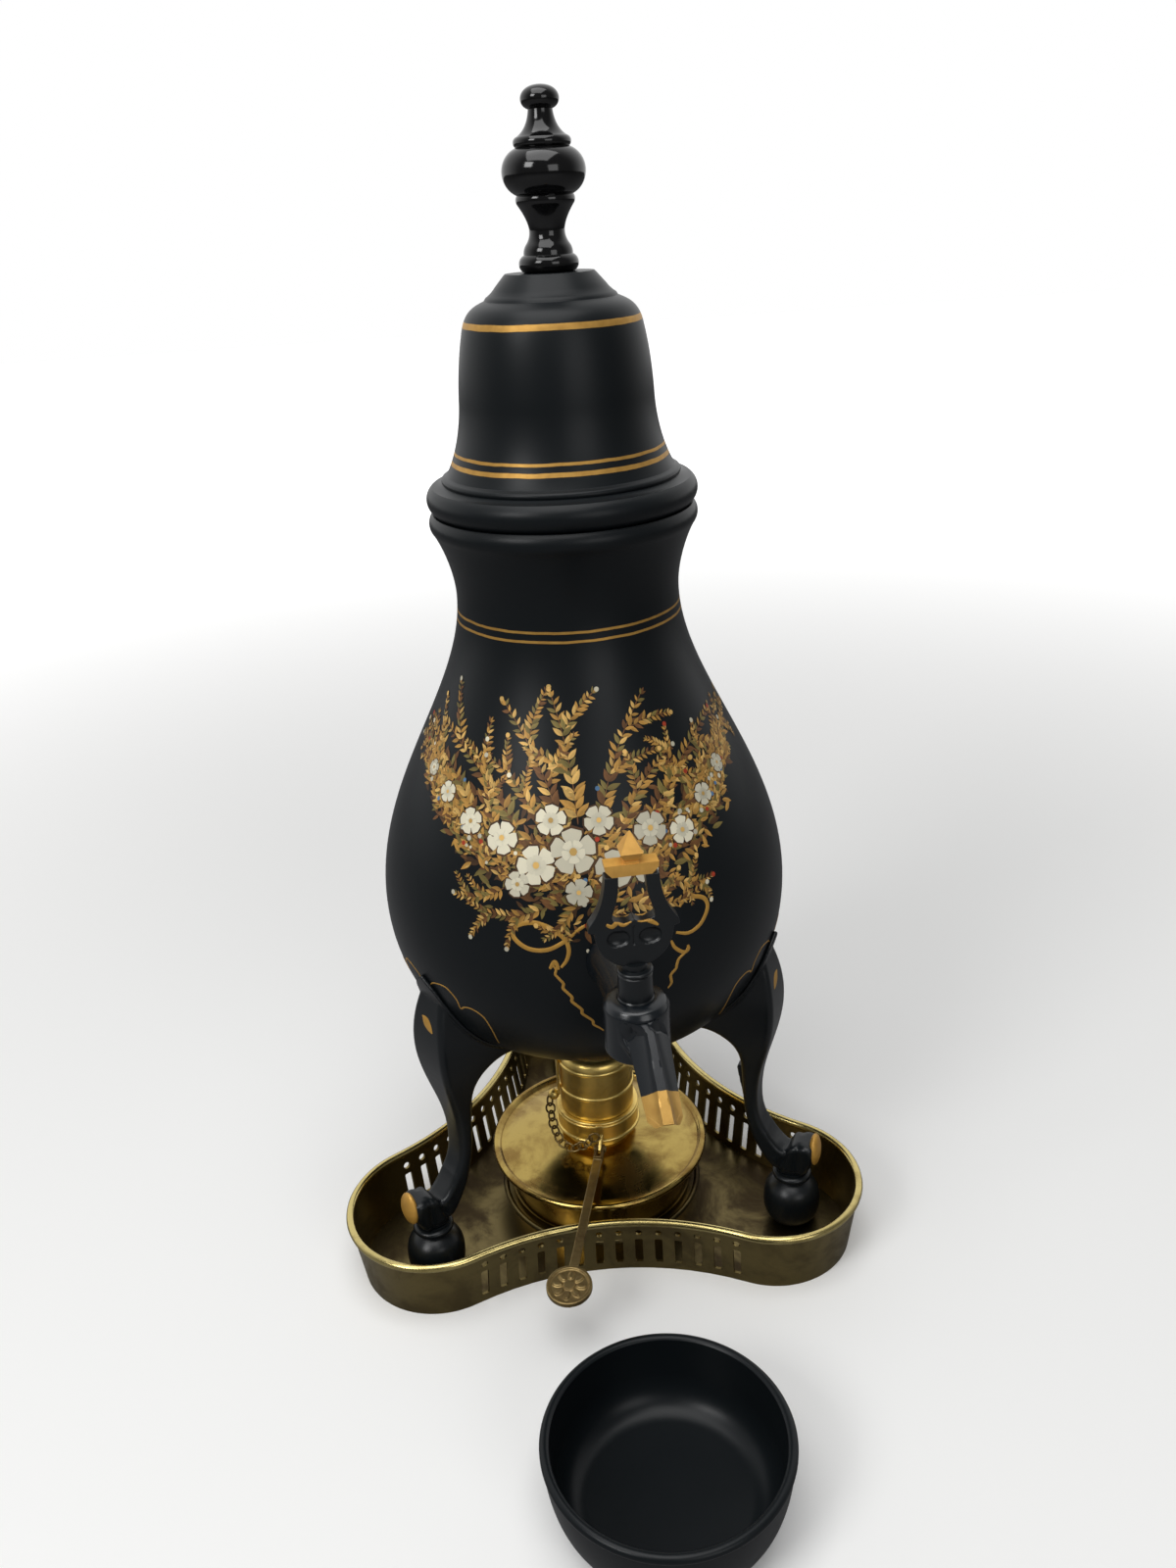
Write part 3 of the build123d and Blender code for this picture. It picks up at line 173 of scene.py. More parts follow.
# The tray's floor is sheet brass, pressed with a low ring that keeps the burner in its place.
# It has gone dull and brown, and is a little brighter where cloths and feet have rubbed it.
def clouds(place, scale, detail=4.0, roughness=0.55, distortion=0.0):
    """Soft random patches, from 0 to 1."""
    given = {"Vector": place, "Scale": scale, "Detail": detail, "Roughness": roughness}
    given["Distortion"] = distortion
    return node(place.id_data, "ShaderNodeTexNoise", given).outputs[0]


def bumped(shader, height, depth, strength=1.0):
    """Raises the surface by a height from 0 to 1 times a depth in metres."""
    given = {"Strength": strength, "Distance": depth, "Height": height}
    fed(shader, Normal=node(shader.id_data, "ShaderNodeBump", given).outputs[0])


def brass(name, slot, clean, dull, dullness, roughness, centre=(0.0, 0.0, 0.0), lathe=0.25):
    """Brass that has been turned and polished, and has then gone dull in patches."""
    made, tree, shader, place = finish(name, slot, Metallic=1.0)
    local = node(tree, "ShaderNodeVectorMath", {0: place, 1: centre}, operation="SUBTRACT").outputs[0]
    parts = node(tree, "ShaderNodeSeparateXYZ", {0: local})
    flat = node(tree, "ShaderNodeCombineXYZ", {0: parts.outputs[0], 1: parts.outputs[1]})
    reach = node(tree, "ShaderNodeVectorMath", {0: flat}, operation="LENGTH").outputs["Value"]
    rings = node(tree, "ShaderNodeCombineXYZ", {0: reach, 1: parts.outputs[2]})
    lines = clouds(rings, 2600.0, 3.0) if lathe else clouds(place, 1400.0, 3.0)
    patches = clouds(place, 42.0, 6.0, 0.62, 0.6)
    specks = clouds(place, 620.0, 3.0, 0.7)
    age = rising(patches, 0.62 - dullness * 0.4, 0.86 - dullness * 0.4)
    spots = rising(specks, 0.62, 0.74)
    age = maths("MAXIMUM", age, scaled(spots, 0.25 + dullness * 0.4))
    shine = scaled(age, 0.16, roughness)
    shine = scaled(lines, 0.10 if lathe else 0.03, shine)
    fed(shader, Base_Color=mixed(age, clean, dull), Roughness=shine)
    grain = scaled(specks, 0.5, scaled(lines, lathe * 2))
    bumped(shader, grain, 0.00003 if lathe else 0.000012, 0.5)
    return made


def settled(piece, material, body, *nodes, sharp=32):
    """Gives a piece its finish and its edges, and sets it on its body in place of its nodes."""
    piece.data.materials.clear()
    piece.data.materials.append(material)
    piece.data.shade_smooth()
    piece.data.set_sharp_from_angle(angle=radians(sharp))
    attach(piece, body)
    if nodes:
        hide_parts(*nodes)
    return piece


def placed(name, shape, outward=True):
    """An object at the origin from a shape drawn in millimetres."""
    data = bpy.data.meshes.new(name)
    if outward:
        bmesh.ops.recalc_face_normals(shape, faces=shape.faces)
    shape.to_mesh(data)
    shape.free()
    data.transform(Matrix.Diagonal((0.001, 0.001, 0.001, 1)))
    return put(name, data)


def turned(shape, outline, steps=192, ring=False, centre=(0.0, 0.0)):
    """Turns an outline of (radius, height) points round an upright line."""
    rows = []
    for radius, height in outline:
        count = 1 if radius < 1e-6 else steps
        row = []
        for way in (2 * pi * step / steps for step in range(count)):
            x, y = centre[0] + radius * cos(way), centre[1] + radius * sin(way)
            row.append(shape.verts.new((x, y, height)))
        rows.append(row)
    pairs = list(zip(rows, rows[1:]))
    if ring:
        pairs.append((rows[-1], rows[0]))
    for low, high in pairs:
        for step in range(steps):
            corners = [low[step % len(low)], low[(step + 1) % len(low)]]
            corners += [high[(step + 1) % len(high)], high[step % len(high)]]
            corners = list(dict.fromkeys(corners))
            if len(corners) > 2:
                shape.faces.new(corners)
    return shape


def bow(start, middle, end, steps=8):
    """Points along the round arc through three points."""
    a, b, c = complex(*start), complex(*middle), complex(*end)
    w = (c - a) / (b - a)
    centre = a + (b - a) * (w - abs(w) ** 2) / (2j * w.imag)
    turn = cmath.phase((b - centre) / (a - centre)) + cmath.phase((c - centre) / (b - centre))
    points = [centre + (a - centre) * cmath.exp(1j * turn * step / steps) for step in range(steps + 1)]
    return [(point.real, point.imag) for point in points]


def sweep(a, b, c, d, steps=16):
    """Points along a smooth curve with two handles."""
    curve = interpolate_bezier(*(Vector(point) for point in (a, b, c, d)), steps + 1)
    return [(point.x, point.y) for point in curve]


tray_flare, tray_wall = 3.4, 1.0
floor_thickness, floor_chamfer = 1.2, 0.15
tray_turn = radians(-5.5)
lobe_radius, tray_reach, tray_waist = 33.0, 106.8, 54.8
lobe_reach = tray_reach - lobe_radius
hollow_radius = (lobe_radius**2 - lobe_reach**2 - tray_waist**2 + lobe_reach * tray_waist) / (
    2 * tray_waist - lobe_reach - 2 * lobe_radius
)
hollow_reach = tray_waist + hollow_radius
half_hollow = asin(lobe_reach * sin(pi / 3) / (lobe_radius + hollow_radius))
half_lobe = pi / 3 + half_hollow


def lobe_arc(side, inset, steps=48):
    """Points round one lobe of the tray, moved in from the rim's middle line."""
    way = tray_turn + radians(120 * side - 30)
    angles = [way - half_lobe + 2 * half_lobe * step / steps for step in range(steps + 1)]
    radius = lobe_radius - inset
    return [
        (lobe_reach * cos(way) + radius * cos(a), lobe_reach * sin(way) + radius * sin(a))
        for a in angles
    ]


def hollow_arc(side, inset, steps=28):
    """Points round one hollow waist of the tray."""
    way = tray_turn + radians(120 * side + 30)
    angles = [way + pi + half_hollow - 2 * half_hollow * step / steps for step in range(steps + 1)]
    radius = hollow_radius + inset
    return [
        (hollow_reach * cos(way) + radius * cos(a), hollow_reach * sin(way) + radius * sin(a))
        for a in angles
    ]


def trefoil(inset):
    """The whole outline, each point once."""
    arcs = [arc(side, inset) for side in range(3) for arc in (lobe_arc, hollow_arc)]
    return [point for arc in arcs for point in arc[:-1]]


floor_brass = brass(
    "floor_brass", "tray_brass", (0.165, 0.128, 0.055, 1), (0.060, 0.042, 0.021, 1), 0.55, 0.27, lathe=0
)
floor = bmesh.new()
floor_edge = tray_flare + tray_wall / 2
lower = [floor.verts.new((x, y, 0)) for x, y in trefoil(floor_edge)]
upper = [floor.verts.new((x, y, floor_thickness)) for x, y in trefoil(floor_edge - floor_chamfer)]
for step in range(len(lower)):
    after = (step + 1) % len(lower)
    floor.faces.new((lower[step], lower[after], upper[after], upper[step]))
floor.faces.new(lower)
floor.faces.new(upper)
bmesh.ops.triangulate(floor, faces=[face for face in floor.faces if len(face.verts) > 4])
pressed_ring = [
    (38.4, 1.1), (38.8, 1.9), *bow((39.0, 2.1), (39.6, 2.35), (40.2, 2.1)), (40.4, 1.9), (40.8, 1.1),
]
turned(floor, pressed_ring, 160, ring=True)
settled(placed("tray_floor", floor), floor_brass, "base", "tray_base")

# The tray's wall leans out a little. Its three hollow waists are pierced with a row of tall slots,
# each under a round hole. It is made flat and pierced, and is then bent round the floor.
tray_height, wall_top, half_wall = 26.5, 23.8, tray_wall / 2
tray_brass = brass(
    "tray_brass", "tray_brass", (0.245, 0.188, 0.072, 1), (0.150, 0.112, 0.045, 1), 0.5, 0.28, lathe=0
)
hole_radius, hole_height = 1.35, 19.8
slot_half, slot_low, slot_high, slot_chamfer = 1.45, 3.6, 16.2, 0.4
units = 14
unit_width = 2 * half_hollow * hollow_radius / units


def geometry_tree(name, inputs):
    """A new geometry tree with named inputs, and the nodes at its two ends."""
    tree = bpy.data.node_groups.new(name, "GeometryNodeTree")
    tree.interface.new_socket("Piece", in_out="INPUT", socket_type="NodeSocketGeometry")
    for label, kind in inputs.items():
        tree.interface.new_socket(label, in_out="INPUT", socket_type="NodeSocket" + kind)
    tree.interface.new_socket("Made", in_out="OUTPUT", socket_type="NodeSocketGeometry")
    return tree, tree.nodes.new("NodeGroupInput").outputs, tree.nodes.new("NodeGroupOutput")


def ended(result, geometry, material):
    """Gives a tree's geometry its material and leads it out."""
    last = node(result.id_data, "GeometryNodeSetMaterial", {"Geometry": geometry, "Material": material})
    result.id_data.links.new(last.outputs[0], result.inputs[0])


def evaluated(thing):
    """The plain mesh that an object's curve or modifiers make."""
    bpy.context.view_layer.update()
    return bpy.data.meshes.new_from_object(thing.evaluated_get(bpy.context.evaluated_depsgraph_get()))


def grown(carrier, tree, values):
    """Runs a geometry tree on a piece and keeps the result as its mesh."""
    modifier = carrier.modifiers.new(tree.name, "NODES")
    modifier.node_group = tree
    for item in tree.interface.items_tree:
        if item.in_out == "INPUT" and item.name in values:
            modifier[item.identifier] = values[item.name]
    carrier.data = evaluated(carrier)
    carrier.modifiers.clear()
    return carrier


def welded(data, apart=1e-4):
    """A mesh with its doubled points merged, ready to be worked on."""
    shape = bmesh.new()
    shape.from_mesh(data)
    bmesh.ops.remove_doubles(shape, verts=shape.verts, dist=apart)
    return shape


def add_loop(drawn, points):
    """Adds a closed line to a curve."""
    loop = drawn.splines.new("POLY")
    loop.points.add(len(points) - 1)
    for point, place in zip(loop.points, points):
        point.co = (*place, 1)
    loop.use_cyclic_u = True


def from_curve(drawn):
    """The shape that a curve's lines make."""
    carrier = put(drawn.name, drawn)
    data = evaluated(carrier)
    bpy.data.objects.remove(carrier)
    return welded(data)


def outlined(outlines, thickness):
    """A flat plate between closed outlines of (x, y) points, the later ones being holes."""
    drawn = bpy.data.curves.new("outlined", "CURVE")
    drawn.dimensions = "2D"
    drawn.fill_mode = "BOTH"
    drawn.extrude = thickness / 2
    for outline in outlines:
        add_loop(drawn, [(x, y, 0) for x, y in outline])
    return from_curve(drawn)


def ringed(x, y, radius, steps=16):
    """Points round a circle."""
    ways = [2 * pi * step / steps for step in range(steps)]
    return [(x + radius * cos(way), y + radius * sin(way)) for way in ways]


edge = unit_width / 2
wall_outline = [(-edge, 0), (edge, 0), (edge, wall_top), (-edge, wall_top)]
slot_corner = slot_half - slot_chamfer
slot_outline = [
    (-slot_half, slot_low + slot_chamfer), (-slot_corner, slot_low), (slot_corner, slot_low),
    (slot_half, slot_low + slot_chamfer), (slot_half, slot_high - slot_chamfer), (slot_corner, slot_high),
    (-slot_corner, slot_high), (-slot_half, slot_high - slot_chamfer),
]
unit = outlined([wall_outline, ringed(0, hole_height, hole_radius), slot_outline], tray_wall)
ends = [face for face in unit.faces if abs(abs(face.calc_center_median().x) - edge) < 1e-3]
bmesh.ops.delete(unit, geom=ends, context="FACES")
bmesh.ops.rotate(unit, verts=unit.verts, matrix=Matrix.Rotation(pi / 2, 3, "X"))
bmesh.ops.rotate(unit, verts=unit.verts, matrix=Matrix.Rotation(pi / 2, 3, "Z"))

tree, given, result = geometry_tree(
    "Pierced waists",
    {"Units": "Int", "Unit Width": "Float", "Bend Radius": "Float", "Bend Reach": "Float", "Lean": "Float",
     "Foot Inset": "Float", "Turn": "Float", "Finish": "Material"},
)
index = node(tree, "GeometryNodeInputIndex")
middle = scaled(maths("SUBTRACT", given["Units"], 1.0), 0.5)
along = scaled(maths("SUBTRACT", index, middle), given["Unit Width"])
along = node(tree, "ShaderNodeCombineXYZ", {1: along})
row = node(tree, "GeometryNodePoints", {0: given["Units"], 1: along})
strip = node(tree, "GeometryNodeInstanceOnPoints", {"Points": row, "Instance": given["Piece"]})
strip = node(tree, "GeometryNodeRealizeInstances", {0: strip})
strip = node(tree, "GeometryNodeMergeByDistance", {0: strip, 2: 2e-6})
flat = node(tree, "ShaderNodeSeparateXYZ", {0: node(tree, "GeometryNodeInputPosition")}).outputs
way = maths("DIVIDE", flat[1], given["Bend Radius"])
radius = maths("ADD", given["Bend Radius"], given["Foot Inset"])
radius = maths("SUBTRACT", radius, scaled(flat[2], given["Lean"]))
radius = maths("SUBTRACT", radius, flat[0])
bent = node(
    tree,
    "ShaderNodeCombineXYZ",
    {
        0: maths("SUBTRACT", given["Bend Reach"], scaled(radius, maths("COSINE", way))),
        1: scaled(radius, maths("SINE", way)),
        2: flat[2],
    },
)
strip = node(tree, "GeometryNodeSetPosition", {"Geometry": strip, "Position": bent})
way = scaled(index, 2 * pi / 3, given["Turn"])
ways = node(tree, "ShaderNodeCombineXYZ", {2: way})
points = node(tree, "GeometryNodePoints", {0: 3})
three = node(tree, "GeometryNodeInstanceOnPoints", {"Points": points, "Instance": strip, "Rotation": ways})
ended(result, node(tree, "GeometryNodeRealizeInstances", {0: three}), given["Finish"])
gallery = grown(
    placed("tray_gallery_pierced", unit),
    tree,
    {"Units": units, "Unit Width": unit_width / 1000, "Bend Radius": hollow_radius / 1000,
     "Bend Reach": hollow_reach / 1000, "Lean": tray_flare / tray_height, "Foot Inset": tray_flare / 1000,
     "Turn": tray_turn + radians(30), "Finish": tray_brass},
)
settled(gallery, tray_brass, "base", "tray_gallery")

lobes = bmesh.new()
top_inset = tray_flare * (1 - wall_top / tray_height)
for side in range(3):
    corners = [
        [lobes.verts.new((x, y, height)) for x, y in lobe_arc(side, inset)]
        for height, inset in (
            (0, tray_flare - half_wall), (wall_top, top_inset - half_wall),
            (wall_top, top_inset + half_wall), (0, tray_flare + half_wall),
        )
    ]
    for one, two in zip(corners, corners[1:] + corners[:1]):
        for step in range(len(one) - 1):
            lobes.faces.new((one[step], one[step + 1], two[step + 1], two[step]))
settled(placed("tray_lobes", lobes), tray_brass, "base")

# The rim closes the wall's top edge. It is sheet brass rolled over a wire, and hands and cloths
# have rubbed it bright all the way round.
rim_radius, rim_centre = 1.5, 25.0
rim_brass = brass(
    "rim_brass", "tray_brass", (0.60, 0.49, 0.20, 1), (0.26, 0.195, 0.07, 1), 0.42, 0.20, lathe=0
)
rolled = bpy.data.curves.new("tray_rim_roll", "CURVE")
rolled.dimensions = "3D"
rolled.bevel_depth = rim_radius
rolled.bevel_resolution = 5
add_loop(rolled, [(x, y, rim_centre) for x, y in trefoil(0)])
settled(placed("tray_rim_roll", from_curve(rolled)), rim_brass, "base", "tray_rim")

# The spirit burner is spun from thin brass and polished: a round can, a domed lid whose edge is
# rolled over the can, and a neck that holds the wick in its tube.
burner_brass = brass(
    "burner_brass", "burner_brass", (0.44, 0.32, 0.095, 1), (0.24, 0.145, 0.040, 1), 0.52, 0.09
)
satin_brass = brass("satin_brass", "burner_brass", (0.86, 0.63, 0.20, 1), (0.52, 0.35, 0.09, 1), 0.35, 0.30)


def spun(name, outline, material, body, *nodes, steps=192, ring=False, centre=(0.0, 0.0)):
    """A finished piece that is turned from its outline."""
    shape = turned(bmesh.new(), outline, steps, ring, centre)
    return settled(placed(name, shape), material, body, *nodes)


can_radius, can_wall, can_low, can_top = 37.0, 0.9, 1.5, 20.0
neck_outer, neck_inner, wick_bore, neck_top, neck_cap = 13.6, 12.4, 8.04, 41.0, 1.6
can_line = [
    (0, can_low), (35.0, can_low), *bow((35.0, can_low), (36.4, 2.1), (can_radius, 3.5)),
    (can_radius, can_top), (can_radius - can_wall, can_top), (can_radius - can_wall, 4.0),
    (34.6, can_low + can_wall), (0, can_low + can_wall),
]
spun("burner_can", can_line, burner_brass, "base", "burner_reservoir")
burner_lid_line = [
    (neck_outer, 26.3), (neck_outer, 25.4), *bow((16.6, 24.8), (26.6, 22.5), (can_radius, can_top), 14),
    *bow((40.9, 20.0), (43.5, 21.3), (41.3, 22.3), 14), *bow((41.3, 22.3), (40.6, 21.7), (40.0, 20.9)),
    *bow((38.5, 20.9), (27.4, 23.6), (16.6, 25.7), 18), (15.2, 26.1),
]
spun("burner_lid", burner_lid_line, burner_brass, "base", "burner_disc", ring=True)
burner_neck_line = [
    (neck_inner, 19.4), (neck_outer, 19.4), (neck_outer, neck_top - 0.3), (neck_outer - 0.3, neck_top),
    (wick_bore, neck_top), (wick_bore, neck_top - neck_cap), (neck_inner, neck_top - neck_cap),
]
spun("burner_neck_tube", burner_neck_line, satin_brass, "base", "burner_neck", ring=True)

# The wick is a plug of plaited cotton, singed at its top. It stands in a plain drawn tube in the
# burner's neck.
plaits, plait_rise = 8.0, 3600.0
char_low, char_high = 0.0555, 0.0585


def coated(name, material):
    """Gives a CAD node that is shown as it is its finish."""
    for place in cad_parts[name].material_slots:
        place.material = material


coated("wick_tube", burner_brass)
cotton, tree, shader, place = finish("wick_cotton", Roughness=0.95)
parts = node(tree, "ShaderNodeSeparateXYZ", {0: place}).outputs
plait = scaled(maths("ARCTAN2", parts[1], parts[0]), plaits)
rise = scaled(parts[2], plait_rise)
crossed = [maths("SINE", maths(way, plait, rise)) for way in ("ADD", "SUBTRACT")]
weave = scaled(*crossed)
char = rising(parts[2], char_low, char_high)
thread = mixed(rising(weave, -0.6, 0.6), (0.46, 0.41, 0.32, 1), (0.75, 0.70, 0.58, 1))
fed(shader, Base_Color=mixed(char, thread, (0.03, 0.025, 0.02, 1)))
bumped(shader, rising(weave, -1.0, 1.0), 0.0003)
coated("wick", cotton)

# The regulating sleeve is a short turned collar that slides round on the neck. A small cast ear
# on its face carries the long lever.
sleeve_clearance, sleeve_radius, sleeve_low, sleeve_top = 0.08, 16.2, 30.2, 39.6
sleeve_bore = neck_outer + sleeve_clearance
sleeve_line = [
    (sleeve_bore, sleeve_top), (sleeve_bore, sleeve_low),
    *bow((16.0, sleeve_low), (16.9, 31.0), (sleeve_radius, 31.8)),
    *bow((sleeve_radius, 37.2), (16.7, 37.8), (sleeve_radius, 38.4)),
    *bow((sleeve_radius, 38.4), (16.4, 39.0), (15.8, sleeve_top)),
]
spun("regulator_collar", sleeve_line, satin_brass, "regulator", "regulator_sleeve", ring=True)


def softened(name, node_name, voxel, rounds):
    """A copy of a node's solid, its edges rounded as a casting's are."""
    shape = welded(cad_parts[node_name].data, 1e-6)
    data = bpy.data.meshes.new(name)
    shape.to_mesh(data)
    shape.free()
    piece = put(name, data)
    rebuilt = piece.modifiers.new("rebuilt", "REMESH")
    rebuilt.mode = "VOXEL"
    rebuilt.voxel_size = voxel / 1000
    rounded = piece.modifiers.new("rounded", "SMOOTH")
    rounded.factor = 0.5
    rounded.iterations = rounds
    piece.data = evaluated(piece)
    piece.modifiers.clear()
    return piece


def cast(name, node_name, voxel, rounds, material, body):
    """A finished piece that is cast to a node's shape."""
    return settled(softened(name, node_name, voxel, rounds), material, body, node_name, sharp=60)


cast("lever_ear", "lever_lug", 0.25, 3, satin_brass, "regulator")

# The lever is a flat strip of bronze with a fork at its inner end, held to the ear by a riveted
# pin. Its outer end carries a round cast plate for the finger.
bronze = brass("bronze", "bronze", (0.30, 0.215, 0.09, 1), (0.10, 0.065, 0.028, 1), 0.55, 0.36, lathe=0.1)
cast("lever_strip", "lever", 0.25, 2, bronze, "lever_arm")
cast("lever_rivet", "lever_pin", 0.2, 2, bronze, "lever_arm")
cast("lever_medallion", "lever_rosette", 0.22, 2, bronze, "lever_arm")

# The chain's round rings are bent from bronze wire. It hangs slack from the ball on the cap's
# strap to an eye beside the lug, so that the cap can't be lost.
ring_radius, ring_wire, ring_count = 2.0, 0.4, 12
top_eye, low_eye = (19.55, -172.0, 43.65), (19.6, -103.2, 35.8)
chain_bulge, chain_sag, chain_steps = 1.8, 9.2, 80


def polar(reach, degrees):
    """The place at a distance from the upright axis, in a direction."""
    return reach * cos(radians(degrees)), reach * sin(radians(degrees))


def chain_point(share):
    """A point on the chain's line, from its upper eye to its lower one."""
    reach, way, height = (top + (low - top) * share for top, low in zip(top_eye, low_eye))
    slack = sin(pi * share)
    return Vector((*polar(reach + chain_bulge * slack, way), height - chain_sag * slack)) / 1000


chain_line = bpy.data.meshes.new("chain_line")
chain_points = [chain_point(step / chain_steps) for step in range(chain_steps + 1)]
chain_line.from_pydata(chain_points, [(step, step + 1) for step in range(chain_steps)], [])
chain = put("chain_rings", chain_line)
tree, given, result = geometry_tree(
    "Chain rings", {"Rings": "Int", "Ring Radius": "Float", "Wire Radius": "Float", "Finish": "Material"}
)
route = node(tree, "GeometryNodeMeshToCurve", {0: given["Piece"]})
places = node(tree, "GeometryNodeResampleCurve", {"Curve": route, "Count": given["Rings"]})
tangent = node(tree, "GeometryNodeInputTangent")
facing = node(tree, "FunctionNodeAlignRotationToVector", {"Vector": tangent}, axis="X")
odd = maths("MODULO", node(tree, "GeometryNodeInputIndex"), 2.0)
quarter = node(tree, "ShaderNodeCombineXYZ", {0: scaled(odd, pi / 2)})
facing = node(tree, "FunctionNodeRotateRotation", {0: facing, 1: quarter}, rotation_space="LOCAL")
circle = node(tree, "GeometryNodeCurvePrimitiveCircle", {"Resolution": 20, "Radius": given["Ring Radius"]})
wire = node(tree, "GeometryNodeCurvePrimitiveCircle", {"Resolution": 8, "Radius": given["Wire Radius"]})
ring = node(tree, "GeometryNodeCurveToMesh", {0: circle, 1: wire})
rings = node(tree, "GeometryNodeInstanceOnPoints", {"Points": places, "Instance": ring, "Rotation": facing})
ended(result, node(tree, "GeometryNodeRealizeInstances", {0: rings}), given["Finish"])
ring_sizes = {"Rings": ring_count, "Ring Radius": ring_radius / 1000, "Wire Radius": ring_wire / 1000}
grown(chain, tree, {**ring_sizes, "Finish": bronze})
settled(chain, bronze, "regulator", "chain", sharp=60)
chain.parent = None
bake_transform(chain)

# The snuffer cap is a drawn thimble of thin brass with two beads, and puts out the flame. A strap
# soldered to it ends in a ball for the chain.
cap_radius, cap_wall, cap_low, cap_shoulder, cap_top = 14.6, 0.8, 39.9, 63.0, 66.0
bead_heights, bead_half, bead_rise = (49.6, 61.4), 0.9, 0.55
cap_beads = [
    bow((cap_radius, height - bead_half), (cap_radius + bead_rise, height), (cap_radius, height + bead_half))
    for height in bead_heights
]
cap_line = [
    (cap_radius - cap_wall, cap_low), (cap_radius, cap_low), *cap_beads[0], *cap_beads[1],
    *bow((cap_radius, cap_shoulder), (13.6, 65.1), (11.4, cap_top)), (0, cap_top), (0, cap_top - cap_wall),
    *bow((11.4, cap_top - cap_wall), (13.0, 64.5), (cap_radius - cap_wall, cap_shoulder)),
]
spun("cap_thimble", cap_line, satin_brass, "cap", "snuffer_cap", ring=True)
cast("cap_strap_ball", "cap_strap", 0.25, 3, satin_brass, "cap")


# The urn's body is spun in one piece from sheet metal, open at the neck. It is painted satin black
# and lined with two fine gold rings.
def black_paint(name, lines=(), roughness=0.34, sheen=0.2):
    """Satin black paint with gold rings, each given as a height and a width in millimetres."""
    made, tree, shader, place = finish(name, "black_paint", Specular_IOR_Level=sheen)
    parts = node(tree, "ShaderNodeSeparateXYZ", {0: place}).outputs
    broad = clouds(place, 16.0, 3.0)
    fine = clouds(place, 1500.0, 2.0)
    colour = mixed(broad, (0.0035, 0.0050, 0.0060, 1), (0.0065, 0.0085, 0.0100, 1))
    shine = scaled(broad, 0.14, roughness - 0.04)
    gold = None
    wobble = scaled(clouds(place, 90.0, 2.0), 0.0006, -0.0003)
    height = maths("ADD", parts[2], wobble)
    for middle, width in lines:
        apart = maths("ABSOLUTE", maths("SUBTRACT", height, middle / 1000))
        stripe = rising(apart, width / 2000 + 0.00008, width / 2000 - 0.00008)
        gold = stripe if gold is None else maths("MAXIMUM", gold, stripe)
    grain = scaled(fine, 0.3)
    if gold is not None:
        leaf = mixed(clouds(place, 300.0, 3.0), (0.33, 0.17, 0.035, 1), (0.62, 0.36, 0.09, 1))
        colour = mixed(gold, colour, leaf)
        shine = scaled(gold, 0.08, shine)
        fed(shader, Metallic=scaled(gold, 0.55))
        grain = maths("ADD", grain, gold)
    fed(shader, Base_Color=colour, Roughness=shine)
    bumped(shader, grain, 0.00004, 0.4)
    return made


urn_floor, belly_height, neck_height, mouth_height, urn_top = 89.3, 143.3, 252.3, 273.5, 279.5
belly_radius, neck_radius, mouth_radius, urn_wall = 72.6, 37.1, 42.8, 1.6


def urn_side(inset):
    """The urn's side from its floor to its mouth, moved in by an inset."""
    belly, neck, mouth = belly_radius - inset, neck_radius - inset, mouth_radius - inset
    floor = urn_floor + inset
    return (
        sweep((28, floor), (54, floor), (belly, 111.3), (belly, belly_height), 40)
        + sweep((belly, belly_height), (belly, 185.9), (neck, 218.9), (neck, neck_height), 48)[1:]
        + sweep((neck, neck_height), (neck, 260.3), (40.6 - inset, 269.8), (mouth, mouth_height), 14)[1:]
    )


urn_line = urn_side(0) + bow((mouth_radius, mouth_height), (43.8, 276.5), (42.4, urn_top))[1:]
urn_inside = [(mouth_radius - urn_wall, urn_top), *reversed(urn_side(urn_wall))]
urn_nodes = ("urn_bottom", "urn_belly", "urn_shoulder", "urn_neck")
urn_paint = black_paint("urn_paint", ((247.5, 0.8), (244.6, 0.8)))
urn_outline = [(0, urn_floor), *urn_line, *urn_inside, (0, urn_floor + urn_wall)]
urn = spun("urn_shell", urn_outline, urn_paint, "urn", *urn_nodes, steps=256)

# The front of the urn carries a painted spray: cream blossoms low in the middle, with leafy twigs
# that sweep out and up from them. Each leaf and petal is one stroke of thick paint.
rng = random.Random(7)
spray_way, spray_height, spray_reach = radians(-97), 180, 62
strokes = {"leaf": [], "blossom": [], "berry": []}
ochre_tint, gold_tint, brown_tint = (0.50, 0.27, 0.06), (0.70, 0.44, 0.13), (0.17, 0.075, 0.025)
olive_tint, umber_tint, cream_tint = (0.21, 0.16, 0.045), (0.075, 0.036, 0.014), (0.70, 0.655, 0.50)
rust_tint, blue_tint = (0.42, 0.05, 0.02), (0.09, 0.20, 0.36)


def urn_radius(height):
    """The urn's outside radius at a height."""
    for (inner, low), (outer, high) in zip(urn_line, urn_line[1:]):
        if low <= height <= high:
            return inner + (outer - inner) * (height - low) / (high - low)
    return urn_line[0][0]


